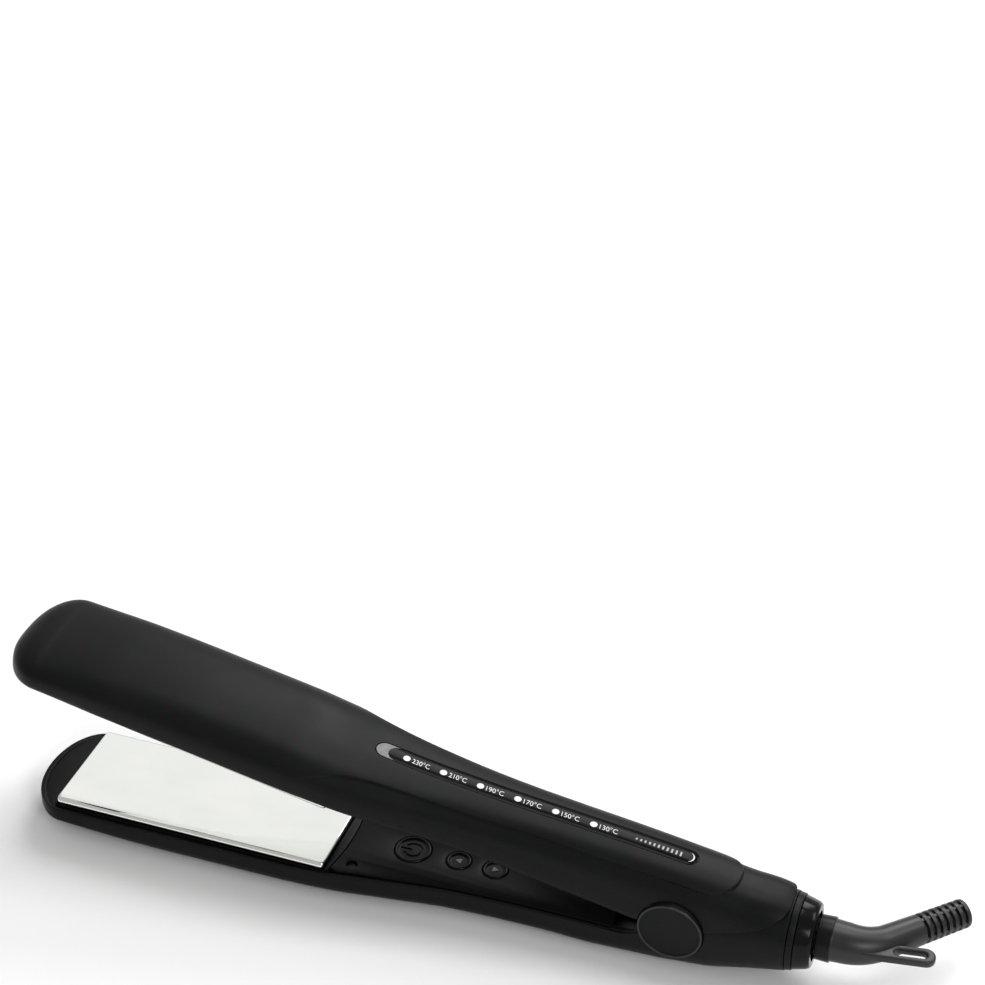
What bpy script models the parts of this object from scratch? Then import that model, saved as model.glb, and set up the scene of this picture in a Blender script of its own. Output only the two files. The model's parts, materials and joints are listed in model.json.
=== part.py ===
"""Wide-plate hair straightener, standing open on its lower arm.

The design frame has x = 0 at the front edge of the heater plates and +X towards the cord, y = 0 on
the centre plane, and z = 0 on the face of the lower heater plate. The upper arm is drawn closed onto
the lower one, and hangs from an empty on the hinge axis that swings it open. Sizes are millimetres.
"""

import math

import bmesh
import bpy
from mathutils import Euler, Matrix, Vector

MM = 0.001

# Driving dimensions
DATUM = (-146.53, -3.51, 14.6)       # design origin, seen from the bottom centre of the whole iron
PLATE_LENGTH = 100.0
PLATE_WIDTH = 39.0
PLATE_THICK = 1.6
PLATE_LIP = 2.6                     # depth of the rolled long edges
CLOSED_GAP = 0.3                    # between the two plate faces with the arms closed
HINGE_X, HINGE_Z = 219.0, 3.8
OPENING_DEG = 11.7
WALL = 1.8
FIT = 0.3                           # clearance between neighbouring pieces
LOWER_NOSE, UPPER_NOSE = -12.6, -21.6  # tips of the arms: the upper one reaches further
NOSE_RUN = 14.6                     # length over which a nose is round
TAIL_X = 256.0                      # rear end of the lower housing
TAIL_Z = 3.4                        # height of the tail's axis
TAIL_R = 13.0
REST_Z = -14.6                      # flat that the iron stands on
CAP_R, CAP_FACE = 10.9, 14.8        # hinge caps: radius, and distance of their faces from the centre
PIN_R = 2.5
COVER_FRONT, COVER_END = 103.9, 199.0
COVER_TOP, COVER_UNDER = -2.2, -4.2
COVER_MARGIN = 2.7                  # from the widest line of the arm to the edge of its cover
POWER_X, UP_X, DOWN_X = 125.1, 141.6, 154.6
POWER_R, SMALL_R = 6.3, 4.3
WINDOW_FRONT, WINDOW_END, WINDOW_HALF = 107.8, 219.6, 3.4
LIGHT_X, LIGHT_PITCH, LIGHT_COUNT, LIGHT_R = 118.8, 13.05, 6, 1.25
SCREW_X, SCREW_Y = 108.2, 13.6
BOARD_TOP, BOARD_THICK = -7.8, 1.6
UPPER_BOARD_UNDER = 10.4
HEATER_TOP, POCKET_FLOOR = -1.9, -6.3  # heater against the plate's back, and floor of its pocket
SWIVEL_X = 264.1                    # where the swivelling boot starts
CORD_R = 2.6                        # mouth of the boot
BOOT_STRAIGHT, BOOT_BEND_R, BOOT_BEND_DEG = 9.7, 15.9, 45.5
BOOT_RADII = (6.8, 6.4, 6.05, 5.75, 5.5, 5.3)  # from the end of its straight run round the bend
RIB_START, RIB_PITCH, RIB_COUNT, RIB_SLOT = 12.5, 2.47, 7, 1.15  # past the bend
RIB_R, RIB_DEPTH = 5.05, 1.1
LOOP_ROOT, LOOP_TURN_DEG, LOOP_Z = (281.0, -1.9), 9.0, 4.3
LOOP_LENGTH, LOOP_HALF, LOOP_THICK = 17.9, 3.3, 2.8
LOOP_HOLE_HALF, LOOP_HOLE_START, LOOP_HOLE_END = 1.35, 9.5, 17.0

# Profiles along the arms: (x, value)
HALF_WIDTH = ((2, 22.2), (20, 22.3), (50, 22.0), (80, 21.9), (100, 21.2), (120, 18.9), (145, 15.8),
              (175, 14.7), (205, 14.5), (235, 14.1), (256, 13.0))
UPPER_TOP = ((-7, 14.2), (20, 17.2), (50, 18.3), (80, 18.4), (100, 17.4), (120, 17.3), (145, 18.2),
             (175, 20.5), (205, 22.9), (235, 24.6), (249, 25.1), (257, 24.0))
LOWER_BOTTOM = ((2, -10.8), (20, -13.2), (45, -14.9), (95, -14.9), (125, -14.0), (150, -13.4),
                (175, -13.7), (195, -14.9), (228, -14.9), (242, -12.6), (256, -9.8))
LOWER_RIM = ((2, -3.6), (95, -3.6), (110, -3.0), (203, -3.0), (230, 5.9), (242, 9.0), (251.3, 13.3),
             (254.4, 15.7), (255, 16.2))
LOWER_WIDEST = ((2, -6.5), (190, -6.0), (215, -3.0), (245, 3.4), (256, 3.4))
LOWER_SHOULDER = ((2, 9.0), (190, 9.0), (240, 13.4), (256, 13.0))
UPPER_RIM = ((2, 3.9), (95, 3.9), (110, 3.3), (206, 3.3), (229, 8.4), (239, 13.6), (245, 17.6),
             (248.5, 20.6), (250.4, 22.6), (251.3, 23.7))
UPPER_WIDEST = ((2, 6.8), (145, 6.2), (257, 5.5))


def smooth(points, x):
    """The value at x of a curve through the points, level at both ends and without overshoot."""
    if x <= points[0][0]:
        return points[0][1]
    for i in range(len(points) - 1):
        (x0, y0), (x1, y1) = points[i], points[i + 1]
        if x > x1:
            continue
        slope = (y1 - y0) / (x1 - x0)
        ends = []
        for j in (i, i + 1):
            if j in (0, len(points) - 1):
                ends.append(slope)
                continue
            before = (points[j][1] - points[j - 1][1]) / (points[j][0] - points[j - 1][0])
            after = (points[j + 1][1] - points[j][1]) / (points[j + 1][0] - points[j][0])
            level = before * after <= 0
            ends.append(0 if level else 2 * before * after / (before + after))
        t = (x - x0) / (x1 - x0)
        run = x1 - x0
        return (y0 * (1 + 2 * t) * (1 - t) ** 2 + y1 * t * t * (3 - 2 * t)
                + ends[0] * run * t * (1 - t) ** 2 - ends[1] * run * t * t * (1 - t))
    return points[-1][1]


def straight(points, x):
    """The value at x of straight lines through the points."""
    for (x0, y0), (x1, y1) in zip(points, points[1:]):
        if x <= x1:
            return y0 + (y1 - y0) * max(0.0, (x - x0) / (x1 - x0))
    return points[-1][1]


def roundness(x, start, end):
    """How much of its full section the nose has reached at x: a quarter ellipse from 0 to 1."""
    share = min(1.0, max(0.0, (x - start) / (end - start)))
    return math.sqrt(1 - (1 - share) ** 2)


def spread(low, high, count):
    return [low + (high - low) * i / (count - 1) for i in range(count)]


# Scene helpers

def clear_scene():
    for obj in list(bpy.data.objects):
        bpy.data.objects.remove(obj)


def collection(name):
    made = bpy.data.collections.new(name)
    bpy.context.scene.collection.children.link(made)
    return made


def material(name, colour, roughness, metallic=0.0):
    made = bpy.data.materials.new(name)
    made.use_nodes = True
    shader = made.node_tree.nodes["Principled BSDF"]
    shader.inputs["Base Color"].default_value = (*colour, 1)
    shader.inputs["Roughness"].default_value = roughness
    shader.inputs["Metallic"].default_value = metallic
    made.diffuse_color = (*colour, 1)
    return made


clear_scene()
PARTS = collection("flat_iron")
CUTTERS = collection("cutters")
SOFT_TOUCH = material("soft_touch_black", (0.018, 0.018, 0.019), 0.5)
GLOSS_BLACK = material("gloss_black", (0.006, 0.006, 0.007), 0.1)
HOLDER_BLACK = material("heat_resistant_black", (0.02, 0.02, 0.02), 0.6)
MIRROR_PLATE = material("mirror_plate", (0.83, 0.84, 0.82), 0.08, 1.0)
LIGHT_GREY = material("light_pipe", (0.62, 0.63, 0.62), 0.3)
RUBBER = material("rubber_black", (0.014, 0.014, 0.014), 0.65)
BOARD_GREEN = material("circuit_board", (0.02, 0.13, 0.06), 0.45)
STEEL = material("steel", (0.6, 0.6, 0.6), 0.3, 1.0)
BRASS = material("brass", (0.7, 0.5, 0.2), 0.3, 1.0)
CERAMIC = material("ceramic_white", (0.75, 0.73, 0.68), 0.6)
SILICONE = material("silicone_red", (0.45, 0.07, 0.05), 0.6)
LEAD_BLACK = material("lead_sleeve", (0.022, 0.022, 0.022), 0.5)
BLACK_STEEL = material("black_steel", (0.03, 0.03, 0.03), 0.45, 1.0)
SWITCH_BLACK = material("switch_black", (0.03, 0.03, 0.03), 0.4)


def empty(name, parent, location, rotation_y=0.0):
    made = bpy.data.objects.new(name, None)
    PARTS.objects.link(made)
    made.parent = parent
    made.location = [v * MM for v in location]
    made.rotation_euler = Euler((0, math.radians(rotation_y), 0))
    return made


ROOT = empty("design_origin", None, DATUM)
HINGE = empty("arm_hinge_axis", ROOT, (HINGE_X, 0, HINGE_Z), OPENING_DEG)


def place(name, bm, finish, arm="lower", at=(0, 0, 0), cutter=False):
    """Links a mesh drawn in millimetres about `at` of the design frame, and hangs it from its arm."""
    bmesh.ops.scale(bm, vec=(MM, MM, MM), verts=bm.verts)
    mesh = bpy.data.meshes.new(name)
    bm.to_mesh(mesh)
    bm.free()
    made = bpy.data.objects.new(name, mesh)
    (CUTTERS if cutter else PARTS).objects.link(made)
    made.location = [v * MM for v in at]
    made.parent = HINGE if arm == "upper" else ROOT
    if arm == "upper":
        made.matrix_parent_inverse = Matrix.Translation((-HINGE_X * MM, 0, -HINGE_Z * MM))
    if cutter:
        made.hide_render = True
        made.display_type = "WIRE"
        return made
    mesh.materials.append(finish)
    mesh.shade_smooth()
    mesh.set_sharp_from_angle(angle=math.radians(35))
    return made


def combine(target, other, operation="DIFFERENCE"):
    modifier = target.modifiers.new(other.name, "BOOLEAN")
    modifier.object = other
    modifier.operation = operation
    modifier.solver = "EXACT"


def cut(target, bm, arm="lower"):
    combine(target, place(target.name + "_cutter", bm, None, arm, cutter=True))


def join(target, bm, arm="lower"):
    combine(target, place(target.name + "_piece", bm, None, arm, cutter=True), "UNION")


# Shape helpers: each returns a bmesh in millimetres

def loft(loops):
    """A closed solid through a row of loops that have the same number of points."""
    bm = bmesh.new()
    rows = [[bm.verts.new(p) for p in loop] for loop in loops]
    count = len(rows[0])
    for a, b in zip(rows, rows[1:]):
        for i in range(count):
            j = (i + 1) % count
            bm.faces.new((a[i], a[j], b[j], b[i]))
    bm.faces.new(rows[0])
    bm.faces.new(rows[-1])
    bmesh.ops.recalc_face_normals(bm, faces=bm.faces)
    return bm


def prism(outline, low, high):
    """An outline in the XY plane, drawn out from low to high."""
    return loft([[(x, y, z) for x, y in outline] for z in (low, high)])


def block(x0, x1, y0, y1, z0, z1):
    return prism([(x0, y0), (x1, y0), (x1, y1), (x0, y1)], z0, z1)


def turned(profile, axis="Z", centre=(0, 0, 0), steps=24):
    """A profile of (radius, height) points turned round an axis; it closes itself on the axis."""
    bm = bmesh.new()
    points = [bm.verts.new((r, 0, h)) for r, h in profile]
    edges = [bm.edges.new(pair) for pair in zip(points, points[1:])]
    if profile[0][0] > 0:
        edges.append(bm.edges.new((points[-1], points[0])))
    bmesh.ops.spin(bm, geom=points + edges, axis=(0, 0, 1), cent=(0, 0, 0),
                   angle=2 * math.pi, steps=steps, use_merge=True)
    bmesh.ops.remove_doubles(bm, verts=bm.verts, dist=1e-4)
    turn = {"X": Matrix.Rotation(math.pi / 2, 3, "Y"), "Y": Matrix.Rotation(-math.pi / 2, 3, "X"),
            "Z": Matrix.Identity(3)}[axis]
    bmesh.ops.rotate(bm, verts=bm.verts, cent=(0, 0, 0), matrix=turn)
    bmesh.ops.translate(bm, verts=bm.verts, vec=centre)
    bmesh.ops.recalc_face_normals(bm, faces=bm.faces)
    return bm


def rod(radius, low, high, axis="Z", centre=(0, 0, 0), steps=24):
    return turned([(0, low), (radius, low), (radius, high), (0, high)], axis, centre, steps)


def ring(inner, outer, low, high, axis="Z", centre=(0, 0, 0), steps=24):
    return turned([(inner, low), (outer, low), (outer, high), (inner, high)], axis, centre, steps)


def onto_upper(bm):
    """Mirrors a lower-arm shape about the plane where the two plates meet."""
    for vertex in bm.verts:
        vertex.co.z = CLOSED_GAP - vertex.co.z
    bmesh.ops.reverse_faces(bm, faces=bm.faces)
    return bm


def wire(name, points, radius, finish, arm="lower"):
    """A round lead or wire along the points, as a POLY curve with filled caps."""
    data = bpy.data.curves.new(name, "CURVE")
    data.dimensions = "3D"
    spline = data.splines.new("POLY")
    spline.points.add(len(points) - 1)
    for target, point in zip(spline.points, points):
        target.co = (*[v * MM for v in point], 1)
    data.bevel_depth = radius * MM
    data.bevel_resolution = 2
    data.use_fill_caps = True
    data.materials.append(finish)
    made = bpy.data.objects.new(name, data)
    PARTS.objects.link(made)
    made.parent = HINGE if arm == "upper" else ROOT
    if arm == "upper":
        made.matrix_parent_inverse = Matrix.Translation((-HINGE_X * MM, 0, -HINGE_Z * MM))
    return made


def curve_through(points, steps=6):
    """Points along a smooth curve through the given ones."""
    rows = [points[0], *points, points[-1]]
    found = []
    for i in range(1, len(rows) - 2):
        a, b, c, d = (Vector(rows[i + k]) for k in (-1, 0, 1, 2))
        for j in range(steps):
            t = j / steps
            found.append(0.5 * (2 * b + (c - a) * t + (2 * a - 5 * b + 4 * c - d) * t * t
                                + (3 * b - a - 3 * c + d) * t ** 3))
    return [tuple(p) for p in found] + [tuple(points[-1])]


# Housings

def half_section(x, half_width, widest, crown, rim, shoulder, power, count):
    """One cross-section of an arm: from its rim, round over its crown, and back to the rim.

    The crown's side of the widest line is a superellipse, and so is the rim's side, whose
    half-height is `shoulder`. A crown that reaches below the rest plane is cut flat on it.
    """
    way = math.copysign(1, crown - widest)
    past = (rim - widest) * way
    height = abs(crown - widest) if past > 0 else shoulder
    start = math.copysign(math.asin(min(1.0, abs(past) / height) ** (power / 2)), past)
    loop = []
    for angle in spread(start, math.pi - start, count):
        side, rise = math.cos(angle), math.sin(angle)
        reach = abs(crown - widest) if rise >= 0 else shoulder
        y = math.copysign(half_width * abs(side) ** (2 / power), side)
        z = widest + way * math.copysign(reach * abs(rise) ** (2 / power), rise)
        loop.append((x, y, max(z, REST_Z)))
    return loop


def lower_section(x, inset=0.0, lift=0.0, count=25):
    full = roundness(x, LOWER_NOSE + inset, LOWER_NOSE + NOSE_RUN)
    tail = min(1.0, max(0.0, (x - 215) / (TAIL_X - 215)))
    rim = straight(LOWER_RIM, x)
    widest = rim + (straight(LOWER_WIDEST, x) - rim) * full
    bottom = rim + (smooth(LOWER_BOTTOM, x) - rim) * full
    if inset:
        bottom = max(bottom, REST_Z) + inset
    shoulder = straight(LOWER_SHOULDER, x) - inset * tail
    return half_section(x, smooth(HALF_WIDTH, x) * full - inset, widest, bottom, rim + lift,
                        shoulder, 2.6 - 0.6 * tail, count)


def upper_section(x, inset=0.0, lift=0.0, count=25):
    full = roundness(x, UPPER_NOSE + inset, UPPER_NOSE + NOSE_RUN)
    rim = straight(UPPER_RIM, x)
    widest = rim + (straight(UPPER_WIDEST, x) - rim) * full
    top = rim + (smooth(UPPER_TOP, x) - rim) * full - inset
    return half_section(x, smooth(HALF_WIDTH, x) * full - inset, widest, top, rim - lift, 9.0,
                        2.6, count)


def stations(tip, end, nose_count=7, body_step=12.0):
    """x positions that crowd towards the tip, where the section grows fastest."""
    nose = [tip + NOSE_RUN * ((i + 0.25) / nose_count) ** 2 for i in range(nose_count)]
    return nose + spread(tip + NOSE_RUN, end, round((end - tip - NOSE_RUN) / body_step) + 1)


def cap_hole():
    return rod(CAP_R + FIT, -30, 30, "Y", (HINGE_X, 0, HINGE_Z), 40)


def lower_housing():
    outside = [*stations(LOWER_NOSE, 242), 247, 251.3, 254.4, TAIL_X]
    shell = place("lower_housing", loft([lower_section(x) for x in outside]), SOFT_TOUCH)
    inside = [*stations(LOWER_NOSE + WALL, 242, 6, 16.0), 251.3, TAIL_X + 3]
    cut(shell, loft([lower_section(x, WALL, 3.0, 19) for x in inside]))
    cut(shell, cap_hole())


def upper_housing():
    outside = [*stations(UPPER_NOSE, 239), 245, 248.5, 250.4, 251.6]
    shell = place("upper_housing", loft([upper_section(x) for x in outside]), SOFT_TOUCH, "upper")
    inside = [*stations(UPPER_NOSE + WALL, 232, 6, 16.0), 239, 245, 249]
    cut(shell, cap_hole(), "upper")
    cut(shell, loft([upper_section(x, WALL, 3.0, 19) for x in inside]), "upper")
    cut(shell, window_shape(0.2, 2.4, 3.0), "upper")


# Plates and what carries them

def plate_section(x):
    """A flat face with rolled edges, as an open channel facing down."""
    half, wall, turn = PLATE_WIDTH / 2, 1.2, 1.3
    corner = [(half - turn + turn * math.sin(a), -turn + turn * math.cos(a))
              for a in spread(0, math.pi / 2, 5)]
    right = [*corner, (half, -PLATE_LIP), (half - wall, -PLATE_LIP), (half - wall, -PLATE_THICK)]
    left = [(-y, z) for y, z in reversed(right)]
    return [(x, y, z) for y, z in right + left]


def heater_plate(arm):
    middle = PLATE_LENGTH / 2
    bm = loft([plate_section(x) for x in (-middle, middle)])
    centre = (middle, 0, 0)
    if arm == "upper":
        onto_upper(bm)
    place(arm + "_heater_plate", bm, MIRROR_PLATE, arm, centre)


def on_arm(bm, arm):
    return onto_upper(bm) if arm == "upper" else bm


def plate_holder(arm):
    """The heat-resistant tray under the plate, with a raised crescent at each end of it."""
    front, half = -9.0, 18.5
    nose_end = LOWER_NOSE + NOSE_RUN
    side = [(x, half * roundness(x, front, nose_end))
            for x in (front + (nose_end - front) * ((i + 0.3) / 8) ** 2 for i in range(8))]
    side += [(nose_end, half), (100.4, half)]
    side += [(COVER_FRONT - FIT - 2.2 * (y / half) ** 2, y) for y in (18.5, 13.5, 7.0)]
    whole = side + [(x, -y) for x, y in reversed(side)]
    bm = on_arm(prism(whole, -7.2, COVER_TOP), arm)
    tray = place(arm + "_plate_holder", bm, HOLDER_BLACK, arm)
    cut(tray, on_arm(block(-0.4, PLATE_LENGTH + 0.4, -30, 30, -3.9, 5), arm), arm)
    cut(tray, on_arm(block(4, 96, -14, 14, POCKET_FLOOR, -3), arm), arm)
    cut(tray, on_arm(block(-20, -1, -30, 30, -9, -4.4), arm), arm)


def heater(arm):
    element = block(15, 85, -7, 7, HEATER_TOP - 2.0, HEATER_TOP)
    place(arm + "_heater_element", on_arm(element, arm), CERAMIC, arm)
    for end, x in (("front", 9.5), ("rear", 90.5)):
        pad = block(x - 3, x + 3, -9, 9, POCKET_FLOOR + FIT, HEATER_TOP)
        place(f"{arm}_{end}_cushion", on_arm(pad, arm), SILICONE, arm)


def sensors():
    bead = block(47, 53, 8.2, 11.2, HEATER_TOP - 1.7, HEATER_TOP)
    place("lower_thermistor", bead, CERAMIC)
    radius = 1.4
    fuse = on_arm(rod(radius, 40, 52, "X", (0, 10.0, HEATER_TOP - 0.2 - radius), 12), "upper")
    place("upper_thermal_fuse", fuse, STEEL, "upper")


# Inner covers, buttons and electronics

def cover_outline():
    """The inner cover's edge: bowed at the front to meet the plate holder, and just inside the rim."""
    half_front = smooth(HALF_WIDTH, COVER_FRONT) - COVER_MARGIN
    side = [(COVER_FRONT - 2.2 * (y / half_front) ** 2, y) for y in spread(0, half_front, 5)[1:]]
    side += [(x, smooth(HALF_WIDTH, x) - COVER_MARGIN) for x in spread(108, COVER_END, 10)]
    return side + [(x, -y) for x, y in reversed(side)]


def inner_cover(arm, holes):
    bm = on_arm(prism(cover_outline(), COVER_UNDER, COVER_TOP), arm)
    cover = place(arm + "_inner_cover", bm, SOFT_TOUCH, arm)
    for x, y, radius in holes:
        cut(cover, on_arm(rod(radius, -6, 0, "Z", (x, y, 0), 24), arm), arm)


def cover_screws(arm):
    for side, y in (("near", -SCREW_Y), ("far", SCREW_Y)):
        shape = turned([(0, -8.4), (0.9, -8.4), (0.9, -4.6), (1.6, -4.6), (1.6, -3.3), (0, -3.3)],
                       "Z", (SCREW_X, y, 0), 12)
        place(f"{arm}_cover_screw_{side}", on_arm(shape, arm), BLACK_STEEL, arm)


def button(name, x, radius):
    """A round key with a dished face, held under the cover by its flange."""
    face, dish, under, flange = -1.9, -2.15, -5.0, -4.5
    profile = [(0, under), (radius + 0.8, under), (radius + 0.8, flange), (radius, flange),
               (radius, face - 0.2), (radius - 0.2, face), (radius - 0.7, face),
               (radius - 1.2, dish), (0, dish)]
    place(name, turned(profile, "Z", (0, 0, 0), 28), GLOSS_BLACK, "lower", (x, 0, 0))


def push_switch(name, x):
    body = place(name, block(x - 3, x + 3, -3, 3, BOARD_TOP + FIT, -6.3), SWITCH_BLACK)
    join(body, rod(1.6, -7.0, -5.6, "Z", (x, 0, 0), 12))


def electronics():
    board = block(112, 190, -9, 9, BOARD_TOP - BOARD_THICK, BOARD_TOP)
    place("main_board", board, BOARD_GREEN)
    for name, x in (("power", POWER_X), ("temp_up", UP_X), ("temp_down", DOWN_X)):
        push_switch(name + "_switch", x)
    place("film_capacitor", block(168, 181, -4, 4, BOARD_TOP + FIT, -4.7), CERAMIC)
    strip = block(112, 192, -5, 5, UPPER_BOARD_UNDER, UPPER_BOARD_UNDER + BOARD_THICK)
    place("indicator_board", strip, BOARD_GREEN, "upper")


# Display

def window_shape(gap=0.0, deep=1.4, proud=0.12):
    """The long display strip with round ends, following the top of the upper arm."""
    front, end, half = WINDOW_FRONT - gap, WINDOW_END + gap, WINDOW_HALF + gap
    turn = [1 - math.cos(a) for a in spread(0.35, math.pi / 2, 5)]
    places = [front + half * t for t in turn] + spread(front + half, end - half, 9)[1:-1]
    places += [end - half * t for t in reversed(turn)]
    loops = []
    for x in places:
        near = min(x - front, end - x)
        y = half if near >= half else math.sqrt(half ** 2 - (half - near) ** 2)
        top = smooth(UPPER_TOP, x)
        loops.append([(x, y, top + proud), (x, -y, top + proud), (x, -y, top - deep),
                      (x, y, top - deep)])
    return loft(loops)


def display():
    window = place("display_window", window_shape(), GLOSS_BLACK, "upper")
    for i in range(LIGHT_COUNT):
        x = LIGHT_X + LIGHT_PITCH * i
        cut(window, rod(LIGHT_R + 0.2, 8, 30, "Z", (x, 0, 0), 16), "upper")
        foot = UPPER_BOARD_UNDER + BOARD_THICK + FIT
        pipe = rod(LIGHT_R, foot, smooth(UPPER_TOP, x) + 0.2, "Z", (x, 0, 0), 16)
        place(f"indicator_light_{i + 1}", pipe, LIGHT_GREY, "upper")


# Hinge

def ear(radius, y0, y1):
    return rod(radius, y0, y1, "Y", (HINGE_X, 0, HINGE_Z), 28)


def lower_hinge_frame():
    frame = place("lower_hinge_frame", block(207, 226, -6.8, 6.8, -9.2, -7.6), BLACK_STEEL)
    for low, high in ((-6.8, -3.8), (3.8, 6.8)):
        join(frame, ear(7.0, low, high))
        join(frame, block(HINGE_X - 6, HINGE_X + 6, low + 0.01, high - 0.01, -8.4, HINGE_Z - 2))
    cut(frame, rod(PIN_R + 0.3, -20, 20, "Y", (HINGE_X, 0, HINGE_Z), 20))


def upper_hinge_frame():
    plate = block(202, 228, -10.8, 10.8, 12.4, 14.2)
    frame = place("upper_hinge_frame", plate, BLACK_STEEL, "upper")
    for low, high in ((-10.8, -7.9), (7.9, 10.8)):
        join(frame, ear(7.0, low, high), "upper")
        join(frame, block(HINGE_X - 6, HINGE_X + 6, low + 0.01, high - 0.01, HINGE_Z + 2, 13.4),
             "upper")
    cut(frame, rod(PIN_R + 0.3, -20, 20, "Y", (HINGE_X, 0, HINGE_Z), 20), "upper")


def hinge_small_parts():
    centre = (HINGE_X, 0, HINGE_Z)
    place("hinge_pin", rod(PIN_R, -11.5, 11.5, "Y", centre, 20), STEEL)
    for side, way in (("near", -1), ("far", 1)):
        rim = [(0, 11.8), (CAP_R, 11.8), (CAP_R, CAP_FACE - 0.5), (CAP_R - 0.5, CAP_FACE),
               (CAP_R - 1.1, CAP_FACE), (CAP_R - 1.4, CAP_FACE - 0.3), (0, CAP_FACE - 0.3)]
        profile = [(r, way * h) for r, h in rim]
        place(f"hinge_cap_{side}", turned(profile, "Y", centre, 40), GLOSS_BLACK)
        low, high = sorted((way * 7.1, way * 7.6))
        place(f"hinge_washer_{side}", ring(PIN_R + 0.3, 5.0, low, high, "Y", centre, 20), BRASS)


def opening_spring():
    """A torsion spring round the pin: its legs bear on the two hinge frames."""
    turns, radius, half = 3, 4.4, 2.4
    coil = []
    for i in range(turns * 14 + 1):
        angle = math.radians(100) + 2 * math.pi * i / 14
        coil.append((HINGE_X + radius * math.cos(angle), -half + 2 * half * i / (turns * 14),
                     HINGE_Z + radius * math.sin(angle)))
    first = (coil[0][0] - 9.5, coil[0][1], coil[0][2] + 3.0)
    last = (coil[-1][0] - 9.0, coil[-1][1], coil[-1][2] + 1.0)
    wire("opening_spring", [first, *coil, last], 0.55, STEEL)


# Tail, swivel and cord boot

def tail():
    collar = [(8.3, TAIL_X + 0.3), (TAIL_R - 0.2, TAIL_X + 0.3), (TAIL_R - 0.5, TAIL_X + 2.2),
              (8.3, TAIL_X + 2.2)]
    band = [(8.3, TAIL_X + 2.5), (TAIL_R - 0.8, TAIL_X + 2.5), (TAIL_R - 2.1, SWIVEL_X - 0.8),
            (TAIL_R - 2.6, SWIVEL_X - 0.3), (8.3, SWIVEL_X - 0.3)]
    axis = (0, 0, TAIL_Z)
    place("tail_collar", turned(collar, "X", axis, 40), SOFT_TOUCH)
    place("tail_band", turned(band, "X", axis, 40), GLOSS_BLACK)
    sleeve = [(9.2, 235), (10.6, 235), (10.6, TAIL_X - 0.3), (9.2, TAIL_X - 0.3)]
    place("swivel_sleeve", turned(sleeve, "X", axis, 28), HOLDER_BLACK)


def swivel():
    axis = (0, 0, TAIL_Z)
    spindle = [(0, 238), (5.0, 238), (5.0, 250), (7.8, 250), (7.8, TAIL_X - 0.3),
               (6.2, TAIL_X - 0.3), (6.2, SWIVEL_X), (0, SWIVEL_X)]
    place("swivel_spindle", turned(spindle, "X", axis, 24), SWITCH_BLACK)
    for i, x in enumerate((240.5, 245.0)):
        place(f"slip_ring_{i + 1}", ring(5.3, 6.4, x, x + 2.4, "X", axis, 24), BRASS)
        brush = block(x + 0.2, x + 2.2, -2, 2, TAIL_Z - 8.7, TAIL_Z - 6.7)
        place(f"contact_brush_{i + 1}", brush, BRASS)


def boot_path():
    """The boot's centre line: straight out of the tail, then bent sideways and straight again."""
    start = SWIVEL_X + FIT
    points = [(start + BOOT_STRAIGHT * s, 0.0, 0.0) for s in (0, 0.5, 1)]
    for angle in spread(0, math.radians(BOOT_BEND_DEG), len(BOOT_RADII))[1:]:
        points.append((start + BOOT_STRAIGHT + BOOT_BEND_R * math.sin(angle),
                       BOOT_BEND_R * (1 - math.cos(angle)), angle))
    return points


def boot_loop(x, y, angle, radius, count=20):
    """A round cross-section of the boot, square to its centre line."""
    loop = []
    for i in range(count):
        turn = 2 * math.pi * i / count
        out = radius * math.cos(turn)
        loop.append((x - out * math.sin(angle), y + out * math.cos(angle),
                     TAIL_Z + radius * math.sin(turn)))
    return loop


def strain_relief_boot():
    path = boot_path()
    start = path[0][0]
    loops = [boot_loop(start, 0, 0, 7.2), boot_loop(start + 4.8, 0, 0, 7.3),
             boot_loop(start + 5.3, 0, 0, 7.15), boot_loop(start + 5.5, 0, 0, 6.9)]
    loops += [boot_loop(*point, r) for point, r in zip(path[2:], BOOT_RADII)]
    x, y, angle = path[-1]

    def further(run, radius):
        return boot_loop(x + run * math.cos(angle), y + run * math.sin(angle), angle, radius)

    loops.append(further(RIB_START - 0.8, RIB_R))
    for i in range(RIB_COUNT):
        run = RIB_START + RIB_PITCH * i
        body = RIB_R - 0.04 * i
        floor = body - RIB_DEPTH
        loops += [further(run, body), further(run + 0.15, floor), further(run + RIB_SLOT - 0.15, floor),
                  further(run + RIB_SLOT, body)]
    end = RIB_START + RIB_PITCH * RIB_COUNT
    loops += [further(end - 0.2, RIB_R - 0.3), further(end + 0.5, RIB_R - 0.9)]
    boot = place("strain_relief_boot", loft(loops), RUBBER)
    ring_shape, ring_hole = loop_ring()
    join(boot, ring_shape)
    cut(boot, ring_hole)
    cut(boot, loft([further(end - 14, CORD_R), further(end + 6, CORD_R)]))


def slot_end(x, radius, start, end, count):
    """Points on a round end of a slot, about (x, 0)."""
    return [(x + radius * math.cos(a), radius * math.sin(a)) for a in spread(start, end, count)]


def loop_ring():
    """The flat hanging loop: a slot-shaped ring that leaves the outside of the boot's bend."""
    quarter = math.pi / 2
    outline = [(0, LOOP_HALF), *slot_end(LOOP_LENGTH, LOOP_HALF, quarter, -quarter, 9), (0, -LOOP_HALF)]
    hole = slot_end(LOOP_HOLE_START, LOOP_HOLE_HALF, quarter, 3 * quarter, 7)
    hole += slot_end(LOOP_HOLE_END, LOOP_HOLE_HALF, -quarter, quarter, 7)
    bm = prism(outline, -LOOP_THICK / 2, LOOP_THICK / 2)
    return leave_boot(bm), leave_boot(prism(hole, -LOOP_THICK, LOOP_THICK))


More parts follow.
